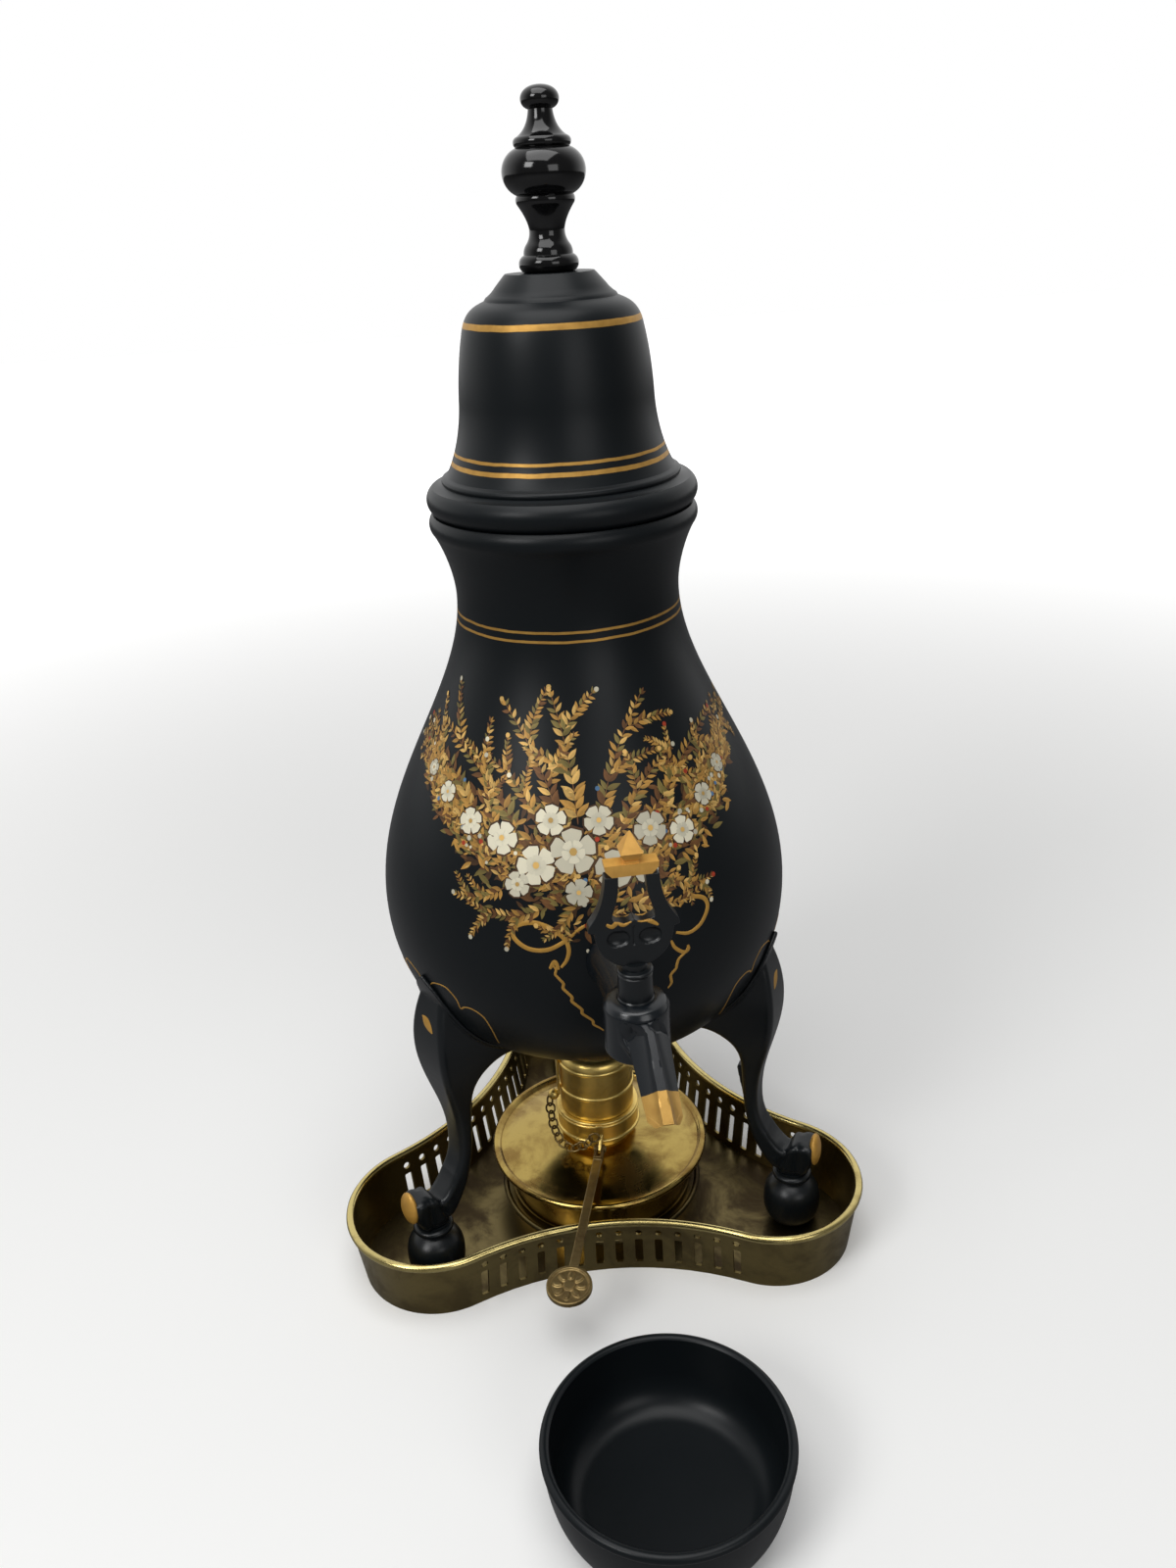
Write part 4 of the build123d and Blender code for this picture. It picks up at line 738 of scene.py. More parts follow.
def stroke(kind, across, height, way, size, tint, lift):
    """Notes one brush stroke by its place across and up the front, its direction, size and colour."""
    radius = urn_radius(height)
    angle = spray_way + across / radius
    slope = atan2(urn_radius(height + 1) - urn_radius(height - 1), 2)
    out = Vector((cos(angle) * cos(slope), sin(angle) * cos(slope), -sin(slope)))
    east = Vector((-sin(angle), cos(angle), 0))
    along = east * cos(way) + out.cross(east) * sin(way)
    turn = Matrix((along, out.cross(along), out)).transposed().to_euler()
    shade = rng.uniform(0.72, 1.18)
    place = (radius * cos(angle) / 1000, radius * sin(angle) / 1000, height / 1000)
    scale, colour = tuple(part / 1000 for part in size), tuple(part * shade for part in tint)
    strokes[kind].append((place, tuple(turn), scale, colour, lift / 1000))


def twig(across, height, way, length, bend, leaf, tints, split=2):
    """Lays leaves in pairs along a bending twig, the biggest at its foot, and buds at its tip."""
    steps = max(4, int(length / (leaf * 0.48)))
    for step in range(steps):
        share = step / steps
        stroke("leaf", across, height, way, (length / steps * 1.5, 0.9, 1), brown_tint, 0.10)
        across += cos(way) * length / steps
        height += sin(way) * length / steps
        way += bend / steps
        for side in (-1, 1):
            size = leaf * (1.15 - 0.65 * share) * rng.uniform(0.85, 1.2)
            turn = way + side * rng.uniform(0.45, 1.0)
            scale, tint = (size, size * rng.uniform(0.75, 1.0), 1), rng.choice(tints)
            stroke("leaf", across, height, turn, scale, tint, 0.12 + rng.uniform(0, 0.06))
        if split and step in (steps // 3, 2 * steps // 3):
            side = 1 if (step + split) % 2 else -1
            twig(across, height, way + side * 0.7, length * 0.42, side * 0.5, leaf * 0.72, tints, 0)
    stroke("leaf", across, height, way, (leaf * 0.6, leaf * 0.5, 1), rng.choice(tints), 0.16)
    if rng.random() < 0.6:
        tint = rng.choice((cream_tint, cream_tint, rust_tint, gold_tint))
        across, height = across + cos(way) * leaf * 0.5, height + sin(way) * leaf * 0.5
        stroke("berry", across, height, 0, (0.8, 0.8, 1), tint, 0.2)


for tints, count, depth, length, lift in (
    ((umber_tint, brown_tint, olive_tint), 760, 1.0, 4.8, 0.06),
    ((olive_tint, ochre_tint, brown_tint), 700, 0.9, 4.2, 0.10),
    ((ochre_tint, gold_tint, ochre_tint), 480, 0.75, 3.3, 0.15),
):
    for number in range(count):
        share = rng.uniform(-1, 1)
        thick = (14.5 * (1 - abs(share)) ** 0.55 + 2.5) * depth
        height = spray_height + 22 * share * share + rng.gauss(0, thick * 0.5)
        way = atan(46 * share / spray_reach) + (0 if share > 0 else pi) + rng.gauss(0, 0.75)
        size = length * rng.uniform(0.6, 1.25)
        scale, tint = (size, size * 0.8, 1), rng.choice(tints)
        stroke("leaf", spray_reach * share, height, way, scale, tint, lift + rng.uniform(0, 0.04))
for side in (-1, 1):
    for across, height, way, length, bend, leaf in (
        (6, 190, 80, 38, -30, 4.4), (13, 190, 68, 27, -44, 3.8), (21, 189, 60, 41, -44, 4.6),
        (28, 190, 70, 22, 30, 3.4), (35, 191, 52, 33, -34, 4.2), (46, 196, 44, 27, -30, 3.8),
        (54, 200, 58, 18, 24, 3.0), (57, 201, 30, 19, 24, 3.2), (12, 170, -28, 27, 50, 3.4),
        (26, 175, -34, 18, 40, 3.0), (4, 168, -60, 13, 30, 2.8),
    ):
        twig(side * across, height + rng.uniform(-2, 2), pi / 2 - side * radians(90 - way),
             length * rng.uniform(0.9, 1.1), side * radians(bend), leaf,
             (ochre_tint, gold_tint, olive_tint, ochre_tint, brown_tint))
twig(-1, 192, 1.62, 37, 0.25, 4.8, (ochre_tint, gold_tint, olive_tint))
for across, height, size in (
    (-3, 184.5, 7.4), (-15, 180.5, 6.4), (9.5, 178.5, 6.2), (-26, 187.5, 5.4), (22, 188.5, 5.6),
    (-9.5, 193.5, 5.0), (5.5, 193.0, 4.8), (-21.5, 174.5, 4.2), (33.5, 185.5, 4.6), (-37.5, 190.5, 4.4),
    (43.5, 193.0, 3.8), (-48, 196.5, 3.6), (53, 199.0, 3.2), (-57, 201.0, 2.8), (-2, 172.5, 4.4),
    (20, 176.5, 4.0),
):
    way = rng.uniform(0, 2)
    stroke("blossom", across, height, way, (size * 1.12, size * 1.12, 1), umber_tint, 0.20)
    stroke("blossom", across, height, way + 0.05, (size, size, 1), cream_tint, 0.26)
    stroke("blossom", across, height, way + 0.7, (size * 0.52, size * 0.52, 1), cream_tint, 0.31)
    stroke("berry", across, height, 0, (size * 0.17, size * 0.17, 1), gold_tint, 0.36)
for number in range(70):
    share = rng.uniform(-1, 1)
    tint = rng.choice((cream_tint, cream_tint, rust_tint, blue_tint, gold_tint))
    size = rng.uniform(0.45, 0.85)
    height = 179 + 23 * share * share + rng.gauss(0, 7 * (1 - abs(share)) + 2)
    stroke("berry", 60 * share, height, 0, (size, size, 1), tint, 0.24)

painted_strokes, given, result = geometry_tree(
    "Painted strokes", {"Stroke": "Object", "Ground": "Object", "Finish": "Material"}
)
tree = painted_strokes
noted = {
    name: node(tree, "GeometryNodeInputNamedAttribute", {"Name": name}, data_type=kind).outputs[0]
    for name, kind in (("turn", "FLOAT_VECTOR"), ("size", "FLOAT_VECTOR"), ("lift", "FLOAT"))
}
one = node(tree, "GeometryNodeObjectInfo", {0: given["Stroke"]}).outputs["Geometry"]
laid = node(
    tree,
    "GeometryNodeInstanceOnPoints",
    {"Points": given["Piece"], "Instance": one, "Rotation": noted["turn"], "Scale": noted["size"]},
)
laid = node(tree, "GeometryNodeRealizeInstances", {0: laid})
ground = node(tree, "GeometryNodeObjectInfo", {0: given["Ground"]}).outputs["Geometry"]
near = node(tree, "GeometryNodeProximity", {0: ground}, target_element="FACES").outputs["Position"]
face = node(
    tree,
    "GeometryNodeSampleNearestSurface",
    {"Mesh": ground, "Value": node(tree, "GeometryNodeInputNormal")},
    data_type="FLOAT_VECTOR",
)
thick = node(tree, "ShaderNodeVectorMath", {0: face, "Scale": noted["lift"]}, operation="SCALE")
where = node(tree, "ShaderNodeVectorMath", {0: near, 1: thick}, operation="ADD")
ended(result, node(tree, "GeometryNodeSetPosition", {"Geometry": laid, "Position": where}), given["Finish"])

spray_paint, tree, shader, place = finish(
    "spray_paint", "ochre_paint", Metallic=0.15, Specular_IOR_Level=0.35
)
tint = node(tree, "ShaderNodeAttribute", attribute_name="tint").outputs["Color"]
depth = node(tree, "ShaderNodeAttribute", attribute_name="shade").outputs["Fac"]
streaks = clouds(place, 900.0, 4.0, 0.7)
dark = node(tree, "ShaderNodeVectorMath", {0: tint, "Scale": 0.34}, operation="SCALE").outputs[0]
tone = rising(scaled(streaks, 0.5, depth), 0.25, 0.95)
fed(shader, Base_Color=mixed(tone, dark, tint), Roughness=scaled(streaks, 0.25, 0.34))
bumped(shader, streaks, 0.0001, 0.5)

dab_steps = 8
for kind, petals, wide in (("leaf", 1, 0.42), ("blossom", 5, 0.62), ("berry", 1, 1.0)):
    points, faces, shades = [], [], []
    for petal in range(petals):
        way = 2 * pi * petal / petals
        for step in range(dab_steps):
            share = step / (dab_steps - 1)
            if kind == "leaf":
                half = wide * 0.5 * sin(pi * share**0.8)
            elif kind == "blossom":
                half = wide * share**0.9 * sqrt(max(0.0, 1 - share**6))
            else:
                half = sqrt(max(0.0, 1 - (2 * share - 1) ** 2))
            x = 2 * share - 1 if kind == "berry" else share
            for side in (-1, 0, 1):
                y = side * half
                points.append((x * cos(way) - y * sin(way), x * sin(way) + y * cos(way), 0))
                leaf_shade = 0.35 + 0.5 * (side > 0) + 0.25 * share
                shades.append({"leaf": leaf_shade, "blossom": 0.25 + 0.75 * share, "berry": 0.7}[kind])
            if step:
                base = len(points) - 6
                faces += [(base, base + 3, base + 4, base + 1), (base + 1, base + 4, base + 5, base + 2)]
    dab_mesh = bpy.data.meshes.new("one_" + kind)
    dab_mesh.from_pydata(points, [], faces)
    dab_mesh.attributes.new("shade", "FLOAT", "POINT").data.foreach_set("value", shades)
    dab = put("one_" + kind, dab_mesh)
    places, turns, scales, tints, lifts = zip(*strokes[kind])
    mesh = bpy.data.meshes.new("painted_" + kind)
    mesh.from_pydata(places, [], [])
    for name, values in (("turn", turns), ("size", scales), ("tint", tints)):
        parts = [part for value in values for part in value]
        mesh.attributes.new(name, "FLOAT_VECTOR", "POINT").data.foreach_set("vector", parts)
    mesh.attributes.new("lift", "FLOAT", "POINT").data.foreach_set("value", lifts)
    painted = put("painted_" + kind, mesh)
    grown(painted, painted_strokes, {"Stroke": dab, "Ground": urn, "Finish": spray_paint})
    bpy.data.objects.remove(dab)
    settled(painted, spray_paint, "urn", sharp=180)


# Gold lines finish the urn: loops and twisted strands beside the tap, and a scalloped edge over
# each leg, drawn with a loaded brush.
def skin_of(*pieces):
    """The outside of finished pieces, to lay paint on, in millimetres."""
    corners, faces = [], []
    for piece in pieces:
        start = len(corners)
        corners += [vertex.co * 1000 for vertex in piece.data.vertices]
        faces += [[start + corner for corner in polygon.vertices] for polygon in piece.data.polygons]
    return BVHTree.FromPolygons(corners, faces)


line_steps = 7
line_section = ((-1, -0.05), (-0.7, 0.8), (0, 1), (0.7, 0.8), (1, -0.05))


def line(shape, skin, points, width, taper=0.2, lift=0.10):
    """A raised line of paint through points in millimetres, laid on a skin."""
    given = [Vector(point) for point in points]
    given = [2 * given[0] - given[1], *given, 2 * given[-1] - given[-2]]
    places = []
    for a, b, c, d in zip(given, given[1:], given[2:], given[3:]):
        for step in range(line_steps):
            t = step / line_steps
            square, cube = 2 * a - 5 * b + 4 * c - d, 3 * b - a - 3 * c + d
            places.append(0.5 * (2 * b + (c - a) * t + square * t**2 + cube * t**3))
    places.append(given[-2])
    rows = []
    for number, place in enumerate(places):
        share = min(max(number / (len(places) - 1), 0.02), 0.98)
        ahead = places[min(number + 1, len(places) - 1)] - places[max(number - 1, 0)]
        spot, normal, _, _ = skin.find_nearest(place)
        side = ahead.cross(normal).normalized() * width / 2 * sin(pi * share) ** taper
        row = []
        for offset, raised in line_section:
            under, normal, _, _ = skin.find_nearest(spot + side * offset)
            row.append(shape.verts.new(under + normal * lift * raised))
        rows.append(row)
    for one, two in zip(rows, rows[1:]):
        for step in range(len(one) - 1):
            shape.faces.new((one[step], one[step + 1], two[step + 1], two[step]))


def gold_paint(name, dark, light, patches, metal, roughness, depth):
    """Gold-coloured paint, laid on with a brush."""
    made, tree, shader, place = finish(name, "ochre_paint", Metallic=metal)
    shine = scaled(clouds(place, 90.0), 0.2, roughness)
    fed(shader, Base_Color=mixed(clouds(place, patches, 4.0), dark, light), Roughness=shine)
    bumped(shader, clouds(place, 800.0, 3.0), depth, 0.5)
    return made


ochre = gold_paint("ochre_paint", (0.38, 0.19, 0.032, 1), (0.68, 0.38, 0.07, 1), 240.0, 0.35, 0.36, 0.00006)
urn_skin = skin_of(urn)
gold = bmesh.new()
left_loop = (
    (-7.8, -69.5, 162.8), (-11.9, -69.4, 160.5), (-16.1, -69.4, 157.1), (-21.6, -68.2, 154.2),
    (-27.4, -66.1, 154.3), (-31.5, -63.9, 157.6), (-30.6, -63.3, 161.2), (-25.7, -64.9, 162.9),
    (-21.0, -66.8, 161.9), (-17.4, -68.6, 159.6), (-15.4, -69.6, 157.0), (-14.9, -70.1, 153.8),
    (-15.9, -70.3, 150.6), (-17.7, -70.2, 148.2),
)
left_hook = ((-21.2, -69.1, 147.7), (-19.5, -69.4, 150.2), (-18.5, -69.9, 147.5))
right_loop = (
    (19.9, -68.7, 155.0), (24.3, -67.4, 153.6), (28.3, -65.6, 154.9), (30.8, -64.1, 157.8),
    (31.6, -63.0, 160.6), (30.1, -62.8, 163.2), (26.3, -64.1, 164.8), (23.1, -65.4, 164.5),
    (21.6, -66.3, 162.9),
)
right_hook = (
    (18.1, -69.5, 152.8), (19.4, -69.5, 149.9), (22.3, -68.8, 147.4), (24.0, -68.2, 148.0),
    (23.8, -68.1, 149.6),
)
for points, width in ((left_loop, 1.6), (left_hook, 1.4), (right_loop, 1.5), (right_hook, 1.3)):
    line(gold, urn_skin, points, width)
for ends in (((-20.5, 149.2), (-5.3, 121.2), 17), ((23.9, 148.9), (17.1, 135.4), 9)):
    (left, top), (right, low), count = ends
    strand = []
    for number in range(count):
        share = number / (count - 1)
        across = left + (right - left) * share + 0.55 * sin(number * 2.1) - 1.6 * sin(pi * share)
        height = top + (low - top) * share
        strand.append((across, -sqrt(max(urn_radius(height) ** 2 - across**2, 1)), height))
    line(gold, urn_skin, strand, 1.1)
leg_ways = {"left": -150, "right": -30, "back": 90}
scallop = (
    (2.5, 127.5), (4.8, 129.5), (9.8, 130.6), (13.0, 127.1), (13.5, 122.8), (15.5, 124.4), (18.5, 124.8),
    (21.7, 122.2), (22.6, 115.2), (21.6, 107.5),
)
for way in leg_ways.values():
    for side in (-1, 1):
        points = [(*polar(urn_radius(height), way + side * apart), height) for apart, height in scallop]
        line(gold, urn_skin, points, 0.7)
settled(placed("gold_lines", gold, outward=False), ochre, "urn", sharp=180)

# Three cabriole legs are cast and soldered on, and each stands on a turned ball. The foot is a
# blunt hoof with a crease at its ankle. Gold marks the knee and the flat end of the toe.
leg_paint = black_paint("leg_paint", roughness=0.30, sheen=0.34)
legs = [cast(f"leg_{name}_cast", f"leg_{name}", 0.45, 4, leg_paint, "urn") for name in leg_ways]


def carved(piece, rule):
    """Moves each point of a piece by a rule in millimetres."""
    for vertex in piece.data.vertices:
        vertex.co = rule(vertex.co * 1000) / 1000
    return piece


foot_reach, toe_start, toe_reach, toe_height = 80, 71, 88.8, 37.0
hoof_foot, hoof_top, hoof_drop, hoof_core = 26.2, 49, 0.20, (81.5, 33)
crease_reach, crease_height, crease_lean, crease_width, crease_depth = 77.2, 36, 0.22, 1.25, 1.3
furrow_reach, furrow_width, furrow_depth = 83.2, 1.3, 0.6
waist_height, waist_width, waist_depth = 27.2, 1.1, 0.7


def groove(apart, width):
    """How deep a soft groove is at a distance from its middle, from 0 to 1."""
    return exp(-((apart / width) ** 2))


def hoof_rule(out, side, point):
    """Lowers the toe, and cuts a crease at the ankle and a shallow furrow down each cheek."""
    reach, apart, height = point.dot(out), point.dot(side), point.z
    if height > hoof_top or reach < toe_start:
        return point
    toe = min((reach - toe_start) / 6, 1.0) * min((hoof_top - height) / 4, 1.0)
    up = max(height - hoof_foot, 0.0)
    point = point - Vector((0, 0, toe * up * hoof_drop))
    middle = out * hoof_core[0] + Vector((0, 0, hoof_core[1]))
    inward = (middle - point).normalized()
    cheek = min(max(abs(apart) - 2, 0.0) / 3, 1.0)
    ankle = crease_reach + crease_lean * (height - crease_height)
    crease = crease_depth * groove(reach - ankle, crease_width)
    furrow = furrow_depth * cheek * groove(reach - furrow_reach, furrow_width)
    waist = waist_depth * groove(height - waist_height, waist_width)
    return point + inward * toe * (crease + furrow + waist)


knee_mark = ((73.5, -2.6, 112.8), (74.0, 0.6, 111.2), (73.0, 4.2, 108.6))
gilt = bmesh.new()
for leg, way in zip(legs, leg_ways.values()):
    out = Vector((*polar(1, way), 0))
    side = Vector((-out.y, out.x, 0))
    tilt = -1 if way == leg_ways["right"] else 1
    carved(leg, lambda point: hoof_rule(out, side, point))
    up = Vector((0, 0, 1))
    knee = [out * reach + side * tilt * apart + up * height for reach, apart, height in knee_mark]
    line(gilt, skin_of(leg), knee, 4.0, 0.7)
    oval = bmesh.ops.create_uvsphere(gilt, u_segments=40, v_segments=24, radius=1)["verts"]
    stand = Matrix((out, side, up)).transposed()
    lean = Matrix.Rotation(radians(-4), 3, side)
    for vertex in oval:
        flat = Vector((vertex.co.x * 2.0, vertex.co.y * (5.2 - 0.6 * vertex.co.z), vertex.co.z * 6.3))
        vertex.co = out * toe_reach + up * toe_height + lean @ (stand @ flat)
settled(placed("gilt_ovals", gilt, outward=False), ochre, "urn", sharp=180)
ball_radius, ball_low, ball_middle = 10.8, 1.5, 11.55
ball_line = [
    (0, ball_low), *sweep((5.6, ball_low), (9.6, 4.2), (ball_radius, 6.1), (ball_radius, ball_middle)),
    *sweep((ball_radius, ball_middle), (ball_radius, 17.0), (9.6, 18.9), (5.6, 21.6))[1:], (6.2, 22.4),
    *bow((6.2, 22.4), (7.5, 23.8), (6.2, 25.2)), (6.2, hoof_foot), (0, hoof_foot),
]
for name, way in leg_ways.items():
    centre = polar(foot_reach, way)
    spun("ball_" + name, ball_line, leg_paint, "urn", "ball_foot_" + name, steps=96, centre=centre)

# The tap is cast in one piece: a barrel for the plug, a pipe that goes through the urn's wall, and
# a ridged spout. It is painted black like the urn, with a gilded tip.
tap_axis, barrel_radius, stem_radius, shoulder_low, shoulder_drop = -106.0, 9.8, 5.7, 155.5, 1.5
pipe_height, pipe_radius, pipe_start, pipe_end, pipe_flare, flare_length = 149.5, 6.9, -69, -95, 2.6, 22
spout_root, spout_length, spout_clear, spout_back = Vector((0, -110, 153)), 31.6, 16, -104
spout_shift, spout_lean, spout_narrowing = 1.6, 1.1, 0.07
cheek_depth, cheek_curve, cheek_fade = 0.4, 0.72, 2.2
half_top_ridge_start, half_top_ridge_end = (6.8, 5.8, 0.9), (5.4, 4.3, 1.8)
spout_way = Vector((0, -24.0, -20.5)).normalized()
spout_rise = Vector((0, spout_way.z, -spout_way.y))
tap_paint, tree, shader, place = finish("tap_paint", "black_paint", Specular_IOR_Level=0.52)
offset = node(tree, "ShaderNodeVectorMath", {0: place, 1: spout_root / 1000}, operation="SUBTRACT")
run = node(tree, "ShaderNodeVectorMath", {0: offset, 1: spout_way}, operation="DOT_PRODUCT").outputs[1]
run = scaled(clouds(place, 120.0), 0.001, run)
tip = rising(run, 0.0225, 0.0228)
leaf = mixed(clouds(place, 260.0, 4.0), (0.44, 0.23, 0.045, 1), (0.78, 0.47, 0.12, 1))
fed(
    shader,
    Base_Color=mixed(tip, (0.0040, 0.0062, 0.0085, 1), leaf),
    Metallic=scaled(tip, 0.5),
    Roughness=scaled(clouds(place, 40.0), 0.10, 0.20),
)
bumped(shader, clouds(place, 700.0, 3.0), 0.00003, 0.3)


def tap_rule(point):
    """Flares the pipe, rounds the barrel's shoulder, and ridges the spout between hollow cheeks."""
    across = Vector((point.x, point.y - tap_axis, 0))
    around = Vector((point.x, 0, point.z - pipe_height))
    if pipe_end < point.y < pipe_start and around.length > pipe_radius:
        flare = min((point.y - pipe_end) / flare_length, 1.0)
        return point + around.normalized() * pipe_flare * flare * flare
    if point.z > shoulder_low and stem_radius < across.length < barrel_radius + 0.15:
        outward = (across.length - stem_radius) / (barrel_radius - stem_radius)
        point = point - Vector((0, 0, shoulder_drop * outward**2))
    local = point - spout_root
    run, rise = local.dot(spout_way), local.dot(spout_rise)
    past = across.length - barrel_radius - 0.05
    if run > 0 and (past > 0 or run > spout_clear) and point.y < spout_back:
        share = min(run / spout_length, 1.0)
        ends = zip(half_top_ridge_start, half_top_ridge_end)
        half, top, ridge = (start + (end - start) * share for start, end in ends)
        beyond = max(abs(point.x) - ridge, 0.0) / (half - ridge)
        cheek = top - (top + cheek_depth) * min(beyond, 1.0) ** cheek_curve
        root = 1.0 if run > spout_clear else min(past / cheek_fade, 1.0)
        if rise > cheek:
            point = point - spout_rise * (rise - cheek) * root * root * (3 - 2 * root)
        aside = root * (spout_shift + spout_lean * share)
        point = Vector((point.x * (1 - spout_narrowing * root) + aside, point.y, point.z))
    return point


tap = carved(softened("tap_casting", "tap_body", 0.3, 1), tap_rule)
settled(tap, tap_paint, "urn", "tap_body", sharp=40)

# Inside the urn a brass nut on a rubber seal holds the tap, behind a small pierced strainer. The
# plug has a washer and a nut of brass, and so has the finial's steel stud.
nut_brass = brass(
    "nut_brass", None, (0.60, 0.42, 0.14, 1), (0.25, 0.16, 0.04, 1), 0.4, 0.28, (0, tap_axis / 1000, 0)
)
steel = brass("bright_steel", None, (0.56, 0.56, 0.55, 1), (0.30, 0.29, 0.28, 1), 0.3, 0.30)
rubber, tree, shader, place = finish("seal_rubber", Roughness=0.8)
fed(shader, Base_Color=mixed(clouds(place, 300.0), (0.025, 0.025, 0.024, 1), (0.06, 0.058, 0.055, 1)))
bumped(shader, clouds(place, 900.0), 0.0001)
coated("tap_seal", rubber)
coated("finial_stud", steel)
for name in ("tap_nut", "tap_strainer", "plug_washer", "plug_nut", "finial_washer", "finial_nut"):
    coated(name, nut_brass)

# The key's plug is turned to a taper that fits the barrel. Its round stem carries a flat cast lyre,
# painted black, with a gilded bar across its arms.
plug_line = [
    (0, 134.5), (2.0, 134.5), (2.0, 139.3), (4.6, 139.3), (5.4, 158.5), (5.1, 158.9), (5.1, 166.6),
    (4.7, 167.0), *bow((4.7, 167.2), (5.35, 167.8), (4.7, 168.4)), (3.7, 168.6), (3.7, 170.6), (0, 170.6),
]
key_paint = black_paint("key_paint", roughness=0.28, sheen=0.42)
spun("key_plug", plug_line, key_paint, "key", "tap_plug", steps=96, centre=(0, tap_axis))
lyre_face, web_half, shield_top = 2.0, 0.6, 186
dimple_side, dimple_height, dimple_wide, dimple_high, dimple_depth = 4.6, 179.4, 3.3, 2.7, 1.3
split_low, split_high, split_width, split_depth = 177, 183, 0.45, 0.5


def lyre_rule(point):
    """Hollows two round dimples in each face of the shield, with a short groove between them."""
    deep = point.y - tap_axis
    if abs(deep) < web_half or point.z > shield_top:
        return point
    aside, above = (abs(point.x) - dimple_side) / dimple_wide, (point.z - dimple_height) / dimple_high
    apart = aside**2 + above**2
    if apart < 1:
        hollow = copysign(lyre_face - dimple_depth * sqrt(1 - apart), deep)
        return Vector((point.x, tap_axis + hollow, point.z))
    split = split_depth * groove(point.x, split_width) * (split_low < point.z < split_high)
    return Vector((point.x, point.y - copysign(split, deep), point.z))


lyre = carved(softened("key_lyre_cast", "key_lyre", 0.25, 2), lyre_rule)
settled(lyre, key_paint, "key", "key_lyre", sharp=60)
dashes = bmesh.new()
lyre_skin = skin_of(lyre)
for face in (tap_axis - lyre_face - 0.1, tap_axis + lyre_face + 0.1):
    for points, width in (
        (((-7.9, 184.6), (-6.3, 183.7), (-4.6, 184.9), (-3.0, 183.9), (-0.9, 184.9)), 1.5),
        (((1.2, 185.0), (4.2, 184.4), (6.9, 182.6)), 1.4),
    ):
        line(dashes, lyre_skin, [(x, face, z) for x, z in points], width, 0.3)
settled(placed("key_dashes", dashes, outward=False), ochre, "key", sharp=180)
bar = bmesh.new()
sections = [
    [bar.verts.new((x * wide, tap_axis + y * deep, level)) for x, y in ((-1, -1), (1, -1), (1, 1), (-1, 1))]
    for level, wide, deep in (
        (199.2, 5.7, 2.2), (201.4, 7.5, 2.5), (203.0, 7.6, 2.5), (203.0, 2.1, 2.1), (203.6, 2.1, 2.1),
        (203.6, 1.8, 1.8), (206.3, 3.2, 3.2), (212.0, 0.25, 0.25),
    )
]
for corners in (sections[0], sections[-1]):
    bar.faces.new(corners)
for low, high in zip(sections, sections[1:]):
    for side in range(4):
        bar.faces.new((low[side], low[side - 3], high[side - 3], high[side]))
bar_edges = [edge for edge in bar.edges if edge.is_manifold and edge.calc_face_angle() > 0.4]
bmesh.ops.bevel(bar, geom=bar_edges, offset=0.14, segments=2, affect="EDGES")
gilding = gold_paint(
    "key_gilding", (0.56, 0.28, 0.05, 1), (0.86, 0.48, 0.11, 1), 320.0, 0.25, 0.28, 0.00004
)
settled(placed("key_bar_gilded", bar), gilding, "key", "key_crossbar", sharp=24)

# The lid is a spun bell with a beaded foot, painted like the urn and lined with three gold rings.
# A plain skirt inside it sits in the urn's mouth.
lid_low, lid_wall, bell_radius, lid_top = 279.8, 1.5, 30.8, 349.9
lid_foot_line = (
    [(35.1, lid_low)] + bow((41.6, lid_low), (43.9, 284.2), (41.8, 288.0), 14)
    + bow((41.8, 288.0), (40.0, 288.3), (38.3, 289.0), 8)[1:]
    + bow((38.3, 289.0), (38.5, 290.1), (37.5, 290.9), 6)[1:]
)
lid_bell_line = (
    sweep((36.6, 291.4), (33.6, 296.8), (31.2, 304.8), (bell_radius, 313.8), 24)
    + sweep((bell_radius, 313.8), (30.4, 321.8), (29.2, 330.8), (27.6, 336.2), 18)[1:]
    + sweep((27.6, 336.2), (26.0, 340.7), (23.0, 341.5), (20.6, 342.6), 12)[1:]
    + [(20.3, 343.1), *bow((20.0, 343.5), (18.2, 344.9), (17.0, 346.3), 5)]
    + [(14.2, lid_top - 0.5), (13.7, lid_top), (0, lid_top)]
)
lid_inside = [(0, lid_top - lid_wall), (13.4, lid_top - lid_wall)] + [
    (radius - lid_wall, height - 1.0) for radius, height in reversed(lid_bell_line[:-10])
]
lid_paint = black_paint("lid_paint", ((336.3, 1.8), (298.3, 0.9), (295.4, 1.3)))
lid_line = lid_foot_line + lid_bell_line + lid_inside
spun("lid_bell_spun", lid_line, lid_paint, "lid", "lid_bell", steps=256)
coated("lid_skirt", lid_paint)

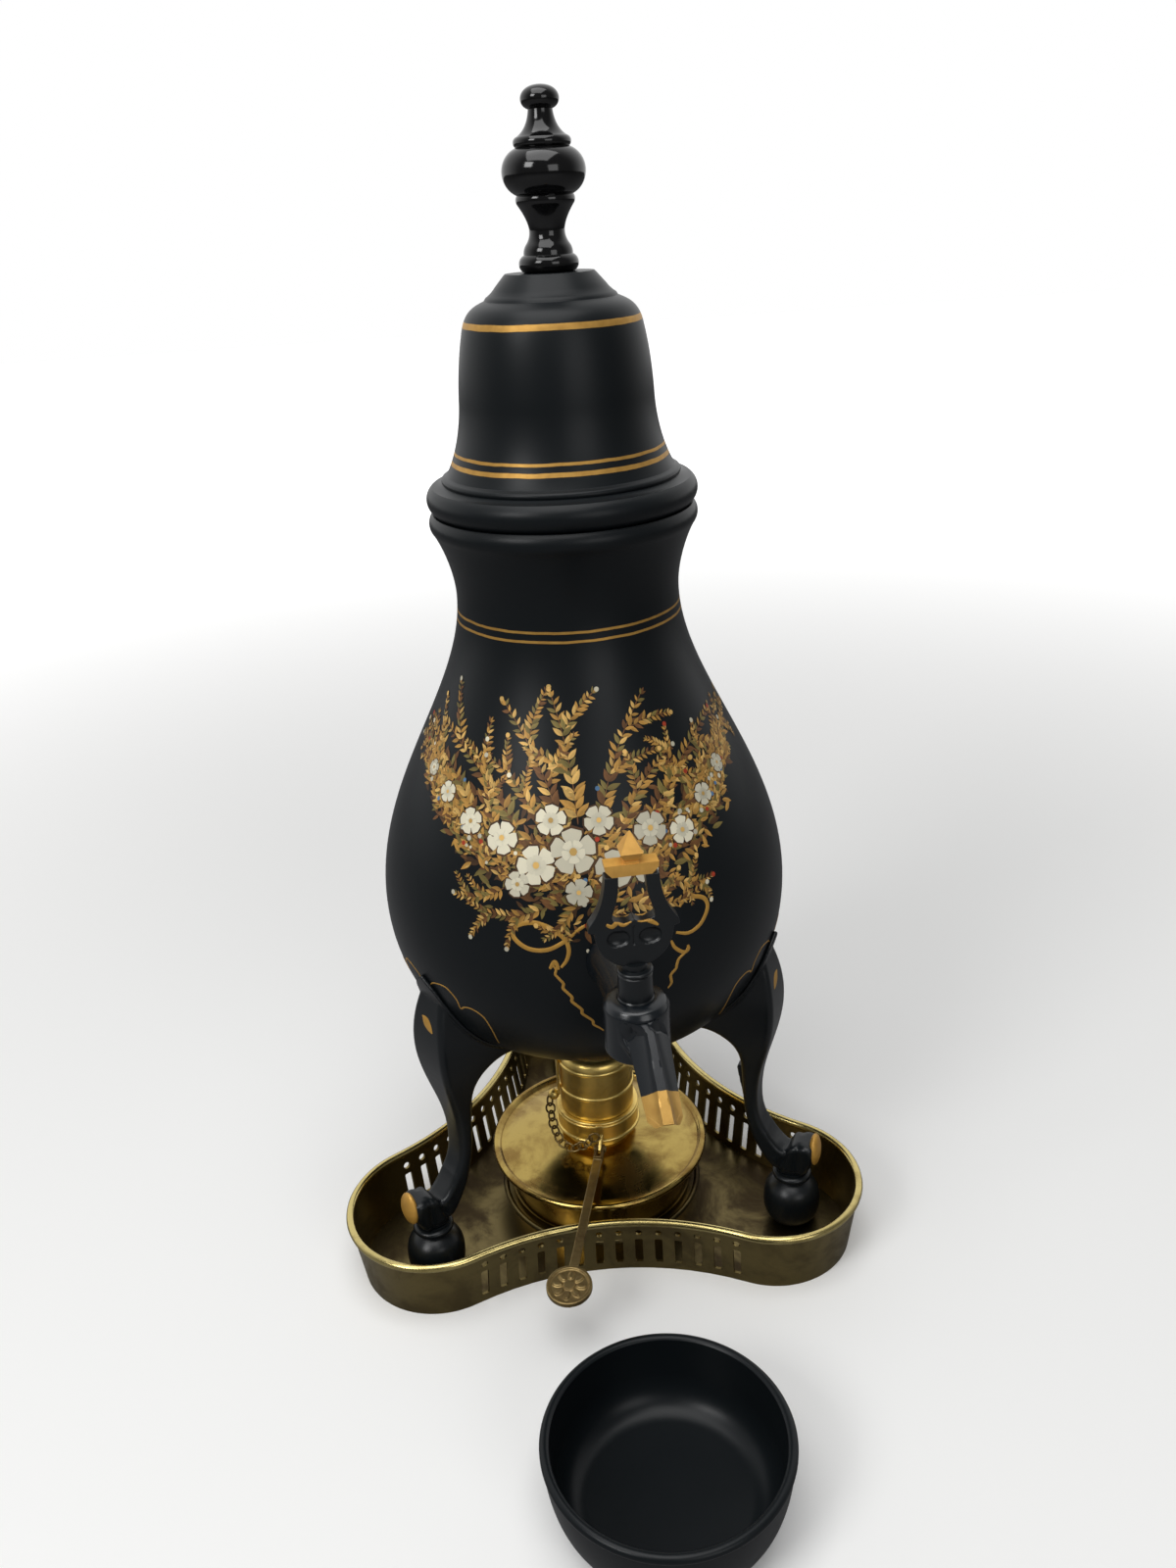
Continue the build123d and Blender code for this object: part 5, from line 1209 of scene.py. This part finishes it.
# The finial is turned wood, filled, stained black and polished to a high gloss. A stud with a
# washer and a nut under the lid's top holds it.
gloss, tree, shader, place = finish("finial_polish", "black_wood", Specular_IOR_Level=0.42)
grain = node(tree, "ShaderNodeMapping", {"Vector": place, "Scale": (1.0, 1.0, 0.12)})
grain = clouds(grain, 700.0, 4.0)
fed(
    shader,
    Base_Color=mixed(grain, (0.002, 0.002, 0.0025, 1), (0.005, 0.005, 0.005, 1)),
    Roughness=scaled(clouds(place, 60.0), 0.08, 0.07),
)
bumped(shader, grain, 0.00003, 0.3)
finial_top = 400.1
finial_line = (
    [(0, lid_top)] + bow((7.6, lid_top), (9.1, 352.8), (7.5, 354.9))
    + bow((7.5, 354.9), (7.35, 356.3), (6.7, 357.7), 5)[1:]
    + sweep((6.7, 357.7), (4.6, 360.4), (4.9, 363.4), (8.3, 368.4))[1:]
    + bow((8.3, 368.4), (8.9, 369.8), (8.5, 371.2))[1:]
    + bow((8.5, 371.2), (12.5, 377.6), (8.0, 383.9), 18)[1:]
    + bow((8.0, 383.9), (8.6, 385.3), (7.4, 386.8))[1:]
    + sweep((7.4, 386.8), (5.0, 388.3), (3.9, 390.9), (3.6, 393.7))[1:]
    + sweep((3.6, 393.7), (7.1, 394.9), (6.4, finial_top), (0, finial_top), 20)[1:]
)
spun("finial_turned", finial_line, gloss, "lid", "finial", steps=128)

# The loose drip bowl is turned, with a thick lip, a coved inside and a small foot ring. It is
# painted satin black like the urn.
bowl_reach, bowl_way, bowl_floor = 149.4, -91.1, 3.6
bowl_centre = polar(bowl_reach, bowl_way)
bowl_line = (
    [(0, 1.2), (24, 1.2), (24.6, 0)]
    + sweep((27, 0), (35, 3), (37.8, 13.5), (38.4, 27), 24)
    + bow((38.4, 27), (38.1, 29.7), (36.0, 29.1), 10)[1:]
    + sweep((35.4, 15), (34.6, 7.2), (30, bowl_floor), (25.5, bowl_floor), 16)
    + [(0, bowl_floor)]
)
bowl_paint = black_paint("bowl_paint", roughness=0.30)
spun("bowl_turned", bowl_line, bowl_paint, "bowl", "drip_bowl", steps=256, centre=bowl_centre)
